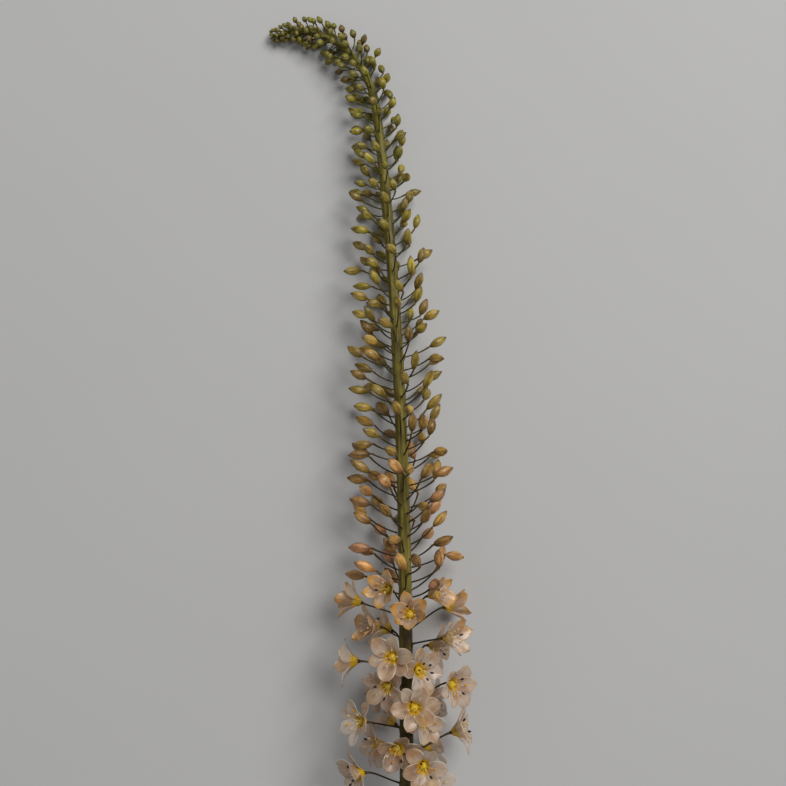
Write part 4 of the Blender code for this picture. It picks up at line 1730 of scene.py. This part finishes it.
@dataclass
class Variety:
    """Small differences among the open flowers: draws for each tepal, and the slopes that the tepals take.

    The columns of the draws, each from -1 to 1, are: 0 slope at the foot and ripeness of the anther, 1 slope
    at the tip, 2 size, 3 wave, 4 twist, 5 youth, 6 sideways bend, 7 width and tone.
    """

    blooms: Blooms
    seed: int = 283
    tepals: int = 6
    columns: int = 8
    open_slopes: tuple[float, float] = (math.radians(28.0), math.radians(80.0))
    cup_slopes: tuple[float, float] = (math.radians(25.0), math.radians(42.0))

    def __post_init__(self) -> None:
        """Draws the differences."""
        self.count = len(self.blooms.base)
        shape = (self.count, self.tepals, self.columns)
        self.draws = np.random.default_rng(self.seed).uniform(-1, 1, shape)
        cup, wide = np.array(self.cup_slopes), np.array(self.open_slopes)
        self.slopes = cup + self.blooms.openness[:, None] * (wide - cup)
        self.rays = polar_points(full_turn(self.tepals), 1.0, 0.0)


@dataclass
class Tepals:
    """The tepals of the open flowers, in two whorls, and the receptacles under them."""

    variety: Variety
    rows: int = 15
    columns: int = 9
    length: float = 13.4
    size_jitter: float = 0.05
    foot_start: tuple[float, float] = (0.7, 0.3)
    foot_length: float = 1.9
    throat: tuple[float, float] = (2.2, 1.1)
    slope_jitter: float = math.radians(19.0)
    jitter_shares: tuple[float, float] = (0.5, 1.5)
    half_width: tuple[float, float] = (3.9, 4.7)
    width_jitter: float = 0.12
    width_rise: tuple[float, float] = (0.32, 0.68)
    widest: float = 0.58
    closed_width: float = 0.82
    tip_powers: tuple[float, float] = (2.2, 0.72)
    least_tip: float = 0.01
    whorl_step: float = 0.32
    whorl_span: tuple[float, float] = (0.0, 0.3)
    least_round: float = 3.0
    cup: float = 0.35
    ruffle: float = 0.7
    wave_count: float = 1.4
    wave_shift: float = 0.5
    groove: float = 0.22
    groove_width: float = 0.14
    twist: float = 0.7
    bend: float = 1.3
    thickness: float = 0.22
    edge_thinning: float = 0.55
    clearance: float = 0.3
    open_span: tuple[float, float] = (0.15, 0.85)
    least_youth: float = 0.14
    youth_jitter: float = 0.2
    tone_share: float = 0.6
    receptacle: tuple = ((0.5, -1.75), (0.62, -1.2), (0.95, -0.5), (1.15, 0.1), (0.95, 0.5))
    receptacle_sides: int = 10
    receptacle_way: tuple[float, float] = (0.6, 1.0)

    def grid(self) -> tuple[np.ndarray, np.ndarray, np.ndarray]:
        """Middle surfaces of all the tepals in the model's frame.

        A tepal's middle line leaves the receptacle, then its slope from the flower's facing grows evenly to
        its tip. Across it the surface follows a circle round the flower, half^2 u^2 / (2 radius), and its
        edges lift by cup u^2 more, with waves ruffle u^2 sin along them, less a groove exp(-(u/width)^2)
        down the middle. The inner whorl lies a little further in than the outer one.

        Returns:
            Points, (flowers, tepals, rows, columns, 3), the way along in 0..1 and the place across in -1..1.
        """
        way, u = np.linspace(0, 1, self.rows), np.linspace(-1, 1, self.columns)
        foot_share = self.foot_length / (self.foot_length + self.length)
        q = np.clip((way - foot_share) / (1 - foot_share), 0, 1)
        slope, radius, height, size = self.lines(way, q, foot_share)
        half = self.half_widths(q) * size
        lift = self.lift(q, u, half, radius, slope)
        out, draws = self.variety.rays[:, None, None], self.variety.draws
        twist = self.twist * draws[..., 4:5, None] * q[:, None] * u
        shift = self.bend * draws[..., 6:7] * q**2
        local = (radius[..., None] - np.cos(slope)[..., None] * lift)[..., None] * out
        local = local + (half[..., None] * u + shift[..., None])[..., None] * np.cross(UP, out)
        local = local + (height[..., None] + np.sin(slope)[..., None] * lift + twist)[..., None] * UP
        return pressed(self.variety.blooms.to_world(local), self.clearance), way, u

    def lift(
        self, q: np.ndarray, u: np.ndarray, half: np.ndarray, radius: np.ndarray, slope: np.ndarray
    ) -> np.ndarray:
        """How far the tepals rise from their middle lines, by the formula at grid.

        Args:
            q: The way along past the foot in 0..1, (rows,).
            u: The place across in -1..1, (columns,).
            half: Half widths, (flowers, tepals, rows).
            radius: Distances from the flower's axis, like half.
            slope: Slopes of the middle lines, like half.

        Returns:
            Heights, (flowers, tepals, rows, columns).
        """
        turns = self.wave_count * q + self.wave_shift * self.variety.draws[..., 3:4]
        wave = np.sin(2 * math.pi * turns)[..., None]
        round_lift = half**2 / (2 * np.maximum(radius, self.least_round)) * np.cos(slope)
        edge_lift = (self.cup + self.ruffle * wave) * (q * (half / self.half_width[1]))[..., None] * u**2
        groove = self.groove * np.exp(-((u / self.groove_width) ** 2)) * (4 * q * (1 - q))[:, None]
        return round_lift[..., None] * u**2 + edge_lift - groove

    def lines(self, way: np.ndarray, q: np.ndarray, foot_share: float) -> tuple:
        """Middle lines of the tepals: radius and height are the sums of sin and cos of the slope.

        Args:
            way: The way along in 0..1.
            q: The way along past the foot in 0..1.
            foot_share: Share of the length that the foot takes.

        Returns:
            Slope, radius, height, each (flowers, tepals, rows), and the size of each tepal.
        """
        draws, slopes = self.variety.draws, self.variety.slopes
        foot_jitter, tip_jitter = (self.slope_jitter * share for share in self.jitter_shares)
        first = slopes[:, :1, None] + foot_jitter * draws[..., 0:1]
        last = slopes[:, 1:, None] + tip_jitter * draws[..., 1:2]
        start_radius, start_height = self.foot_start
        foot_slope = math.atan2(self.throat[0] - start_radius, self.throat[1] - start_height)
        slope = np.where(way < foot_share, foot_slope, first + (last - first) * q)
        size = 1 + self.size_jitter * draws[..., 2:3]
        step = (self.foot_length + self.length) / (self.rows - 1) * size
        out, up = np.sin(slope), np.cos(slope)
        radius = start_radius + np.cumsum(out * step, axis=-1) - out[..., :1] * step
        height = start_height + np.cumsum(up * step, axis=-1) - up[..., :1] * step
        whorl = 2 * (np.arange(self.variety.tepals) % 2)[:, None] - 1
        inward = self.whorl_step * whorl * smooth_step(q, *self.whorl_span)
        return slope, radius - inward * up, height + inward * out, size

    def half_widths(self, q: np.ndarray) -> np.ndarray:
        """Half widths: they rise as a sine to the widest place, then fall as (1 - q^2.2)^0.72.

        Args:
            q: The way along past the foot in 0..1, (rows,).

        Returns:
            Half widths, (flowers, tepals, rows).
        """
        wide = np.array(self.half_width)[np.arange(self.variety.tepals) % 2][:, None]
        openness = self.variety.blooms.openness
        closing = (self.closed_width + (1 - self.closed_width) * openness)[:, None, None]
        least, more = self.width_rise
        rising = least + more * np.sin(math.pi / 2 * np.clip(q / self.widest, 0, 1))
        inner, outer = self.tip_powers
        past = np.clip((q - self.widest) / (1 - self.widest), 0, 1)
        varied = 1 + self.width_jitter * self.variety.draws[..., 7:8]
        return wide * varied * closing * rising * np.clip(1 - past**inner, self.least_tip, 1) ** outer

    def surfaces(self) -> list[Surface]:
        """The six tepals of each flower as one surface.

        Returns:
            One surface for each flower.
        """
        middle, way, u = self.grid()
        thin = 1 - self.edge_thinning * np.abs(u) ** 3
        thickness = self.thickness * thin[None, None, :] * np.ones((1, self.rows, 1))
        blooms, draws = self.variety.blooms, self.variety.draws
        youth = 1 - smooth_step(blooms.openness, *self.open_span)
        youth = youth[:, None] + self.least_youth + self.youth_jitter * draws[..., 5]
        tone = (self.tone_share * blooms.sites.draws[:, 1])[:, None] + self.tone_share * draws[..., 7]
        made = []
        for number, grid in enumerate(middle):
            values = {
                "way": way[None, :, None],
                "across": u[None, None, :],
                "youth": np.clip(youth[number], 0, 1)[:, None, None],
                "tone": np.clip(tone[number], -1, 1)[:, None, None],
            }
            made.append(sheet_surface(grid, thickness, values))
        return made

    def receptacles(self) -> list[Surface]:
        """The small swelling under each flower's tepals: a turned profile of radius and height."""
        values = {"way": np.linspace(*self.receptacle_way, len(self.receptacle))}
        return self.variety.blooms.turned(np.array(self.receptacle), self.receptacle_sides, values, 1)


@dataclass
class Stamens:
    """Six stamens in each open flower: thin filaments, with anthers that ripen at different times."""

    variety: Variety
    root: float = 2.0
    length: float = 7.2
    slope_share: float = 0.62
    foot: tuple[float, float] = (0.9, 1.0)
    lead: float = 3.0
    tail: float = 2.4
    radius: float = 0.16
    taper: tuple[float, float] = (1.15, 0.5)
    rings: int = 8
    sides: int = 5
    clearance: float = 0.7
    anther_length: float = 2.4
    anther_radius: float = 0.62
    anther_power: float = 0.6
    anther_way: tuple[float, ...] = (0.08, 0.3, 0.55, 0.8, 0.95)
    anther_sides: int = 6
    anther_overlap: float = 0.1
    ripe_bounds: tuple[float, float] = (-0.75, 0.45)

    def paths(self) -> tuple[np.ndarray, np.ndarray]:
        """Paths of the filaments and the directions of their anthers, (flowers, stamens, ...).

        Returns:
            Points, (flowers, stamens, rings, 3), and unit vectors, (flowers, stamens, 3).
        """
        blooms, rays = self.variety.blooms, self.variety.rays
        shape = (self.variety.count, *rays.shape)
        slope = self.slope_share * self.variety.slopes.sum(1) / 2
        reach = (self.length * np.sin(slope))[:, None, None] * rays
        rise = (self.root + self.length * np.cos(slope))[:, None, None] * UP
        ends = pressed(blooms.to_world(reach + rise), self.clearance)
        way = unit(ends - blooms.to_world(np.broadcast_to(UP * self.root, shape)))
        out, up = self.foot
        feet = blooms.to_world(np.broadcast_to(rays * out + UP * up, shape))
        leads = feet + blooms.facing[:, None] * self.lead
        handles = [part.reshape(-1, 3) for part in (feet, leads, ends - way * self.tail, ends)]
        curves = cubic_curve(handles, np.linspace(0, 1, self.rings))
        return curves.reshape(*shape[:2], self.rings, 3), way

    def surfaces(self) -> list[list[Surface]]:
        """Filaments and anthers of each flower.

        A filament's radius is r (1.15 - 0.5 t), and an anther's is r sin(pi t)^0.6.

        Returns:
            Two surfaces for each flower.
        """
        paths, way = self.paths()
        t, s = np.linspace(0, 1, self.rings), np.array(self.anther_way)
        taper = self.radius * (self.taper[0] - self.taper[1] * t)
        plump = self.anther_radius * np.sin(math.pi * s) ** self.anther_power
        made = []
        for lines, ways, draws in zip(paths, way, self.variety.draws):
            rings = ring_points(lines, taper, self.sides)
            filaments = tube_surface(rings, lines[:, 0], lines[:, -1], {"way": t[None, :, None]})
            start = lines[:, -1] - ways * self.anther_overlap
            spine = start[:, None] + ways[:, None] * (self.anther_length * s)[:, None]
            pods = ring_points(spine, plump, self.anther_sides)
            spent = {"spent": (np.digitize(draws[:, 0], self.ripe_bounds) / 2)[:, None, None]}
            anthers = tube_surface(pods, start, start + ways * self.anther_length, spent, 1)
            made.append([filaments, anthers])
        return made


@dataclass
class Pistils:
    """The ovary and the style of each open flower."""

    blooms: Blooms
    low: float = 0.6
    high: float = 4.8
    radius: float = 2.2
    ends: tuple[float, float] = (0.06, 0.94)
    rings: int = 8
    sides: int = 12
    lobes: float = 0.07
    power: float = 0.75
    style_radius: float = 0.24
    style_height: float = 8.4
    style_sink: float = 0.4
    style_thinning: float = 0.35
    style_head: float = 0.5
    style_head_reach: float = 0.07
    style_rings: int = 9
    style_sides: int = 6

    def ovaries(self) -> list[Surface]:
        """A three-lobed globe on each flower's axis: radius r sin(pi t)^0.75.

        Returns:
            One surface for each flower.
        """
        t = np.linspace(*self.ends, self.rings)
        radius = self.radius * np.sin(math.pi * t) ** self.power
        profile = np.column_stack([radius, self.low + (self.high - self.low) * t])
        return self.blooms.turned(profile, self.sides, {"way": t}, lobes=self.lobes)

    def styles(self) -> list[Surface]:
        """The thin style on each ovary: radius r (1 - thinning t + head exp(-((1-t)/reach)^2)).

        Returns:
            One surface for each flower.
        """
        t = np.linspace(0, 1, self.style_rings)
        head = self.style_head * np.exp(-(((1 - t) / self.style_head_reach) ** 2))
        radius = self.style_radius * (1 - self.style_thinning * t + head)
        rise = self.style_height - self.high + self.style_sink
        profile = np.column_stack([radius, self.high - self.style_sink + rise * t])
        return self.blooms.turned(profile, self.style_sides, {"way": t})


@dataclass
class OpenFlowers:
    """The open flowers: six tepals in two whorls, an ovary with its style, and six stamens each."""

    palette: Palette
    blooms: Blooms

    def build(self) -> None:
        """Three pieces for each flower, in place of its two solids."""
        variety = Variety(self.blooms)
        tepals, pistils = Tepals(variety), Pistils(self.blooms)
        soft = [self.palette.tepal, self.palette.pedicel]
        thin = [self.palette.filament, self.palette.anther]
        whorls = zip(tepals.surfaces(), tepals.receptacles())
        centres = zip(pistils.ovaries(), Stamens(variety).surfaces(), pistils.styles())
        for number, (whorl, (ovary, stamens, style)) in enumerate(zip(whorls, centres), 1):
            node = f"bloom_{number:02d}"
            centre = [f"{node}_centre"]
            make_piece(f"{node}_petals", list(whorl), soft, [f"{node}_tepals"])
            make_piece(f"{node}_ovary", [ovary], [self.palette.ovary], centre)
            make_piece(f"{node}_stamens", [*stamens, style], thin, centre)


@dataclass(frozen=True)
class Lamp:
    """A square area light that faces the middle of the spike: its place, side, power and colour."""

    name: str
    place: tuple[float, float, float]
    size: float
    power: float
    colour: tuple[float, float, float]

    def build(self) -> None:
        """The light in the scene."""
        light = bpy.data.lights.new(self.name, "AREA")
        light.size, light.energy, light.color = self.size, self.power, self.colour
        lamp = bpy.data.objects.new(self.name, light)
        lamp.location = self.place
        x, y, z = self.place
        tilt, yaw = math.atan2(math.hypot(x, y), z), math.atan2(-y, -x)
        lamp.rotation_euler = (tilt, 0.0, yaw - math.pi / 2)
        bpy.context.scene.collection.objects.link(lamp)


@dataclass
class Studio:
    """A plain pale floor, soft light and a camera that looks straight down.

    Its sizes are in metres, apart from those with mm in their names.
    """

    floor_size: float = 4.0
    floor_colour: tuple = rgb(196, 197, 198)
    floor_shade: float = 0.96
    floor_roughness: float = 0.85
    cloud_scale: float = 6.0
    lamps: tuple[Lamp, ...] = (
        Lamp("key_light", (1.15, 1.35, 2.25), 1.5, 66.0, (1.0, 0.98, 0.95)),
        Lamp("fill_light", (-1.9, -0.7, 2.1), 2.0, 4.0, (0.95, 0.97, 1.0)),
    )
    sky_colour: tuple = (1.0, 0.99, 0.98, 1.0)
    sky_strength: float = 0.15
    field_of_view: float = math.radians(40.0)
    clip_start: float = 0.01
    frame_pixels: float = 786.0
    mm_per_pixel: float = 0.55
    view_centre_mm: tuple[float, float, float] = (12.8, 28.0, 28.0)

    def build(self) -> None:
        """Floor, lights, world and camera."""
        self.add_floor()
        for lamp in self.lamps:
            lamp.build()
        self.add_world()
        self.add_camera()
        bpy.context.scene.view_settings.view_transform = "Standard"

    def add_floor(self) -> None:
        """A flat square under the spike with a very faint cloudy tone."""
        half = self.floor_size / 2
        corners = [(-half, -half, 0), (half, -half, 0), (half, half, 0), (-half, half, 0)]
        mesh = bpy.data.meshes.new("floor")
        mesh.from_pydata(corners, [], [(0, 1, 2, 3)])
        floor = bpy.data.objects.new("floor", mesh)
        bpy.context.scene.collection.objects.link(floor)
        made = bpy.data.materials.new("floor_paper")
        made.use_nodes = True
        nodes = Nodes(made.node_tree)
        cloud = nodes.noise(nodes.add("ShaderNodeTexCoord").outputs["Object"], self.cloud_scale, 2.0)
        darker = tuple(part * self.floor_shade for part in self.floor_colour[:3]) + (1.0,)
        shader = made.node_tree.nodes["Principled BSDF"]
        made.node_tree.links.new(nodes.blend(cloud, self.floor_colour, darker), shader.inputs["Base Color"])
        shader.inputs["Roughness"].default_value = self.floor_roughness
        mesh.materials.append(made)

    def add_world(self) -> None:
        """A pale even sky."""
        world = bpy.data.worlds.new("studio")
        world.use_nodes = True
        background = world.node_tree.nodes["Background"]
        background.inputs["Color"].default_value = self.sky_colour
        background.inputs["Strength"].default_value = self.sky_strength
        bpy.context.scene.world = world

    def add_camera(self) -> None:
        """A camera over the spike, so far up that a pixel covers mm_per_pixel at the height of the stem."""
        camera = bpy.data.cameras.new("camera")
        camera.angle = self.field_of_view
        camera.clip_start = self.clip_start
        eye = bpy.data.objects.new("camera", camera)
        half_frame = self.frame_pixels / 2 * self.mm_per_pixel
        x, y, z = self.view_centre_mm
        rise = half_frame / math.tan(self.field_of_view / 2)
        eye.location = (x * MM, y * MM, (z + rise) * MM)
        bpy.context.scene.collection.objects.link(eye)
        bpy.context.scene.camera = eye


def main() -> None:
    """Builds the spike piece by piece, then the studio."""
    logging.basicConfig(level=logging.INFO, format="%(message)s")
    spike = Spike()
    palette = Palette()
    bud_rule = BudRule()
    places = bud_rule.places(spike, spike.bud_sites)
    blooms = BloomRule().blooms(spike, bud_rule)
    MainStem(spike, palette).build()
    Pedicels(spike, palette).build(places, blooms)
    Buds(spike, palette).build(places)
    Bracts(spike, palette).build()
    OpenFlowers(palette, blooms).build()
    Studio().build()


if __name__ == "__main__":
    main()
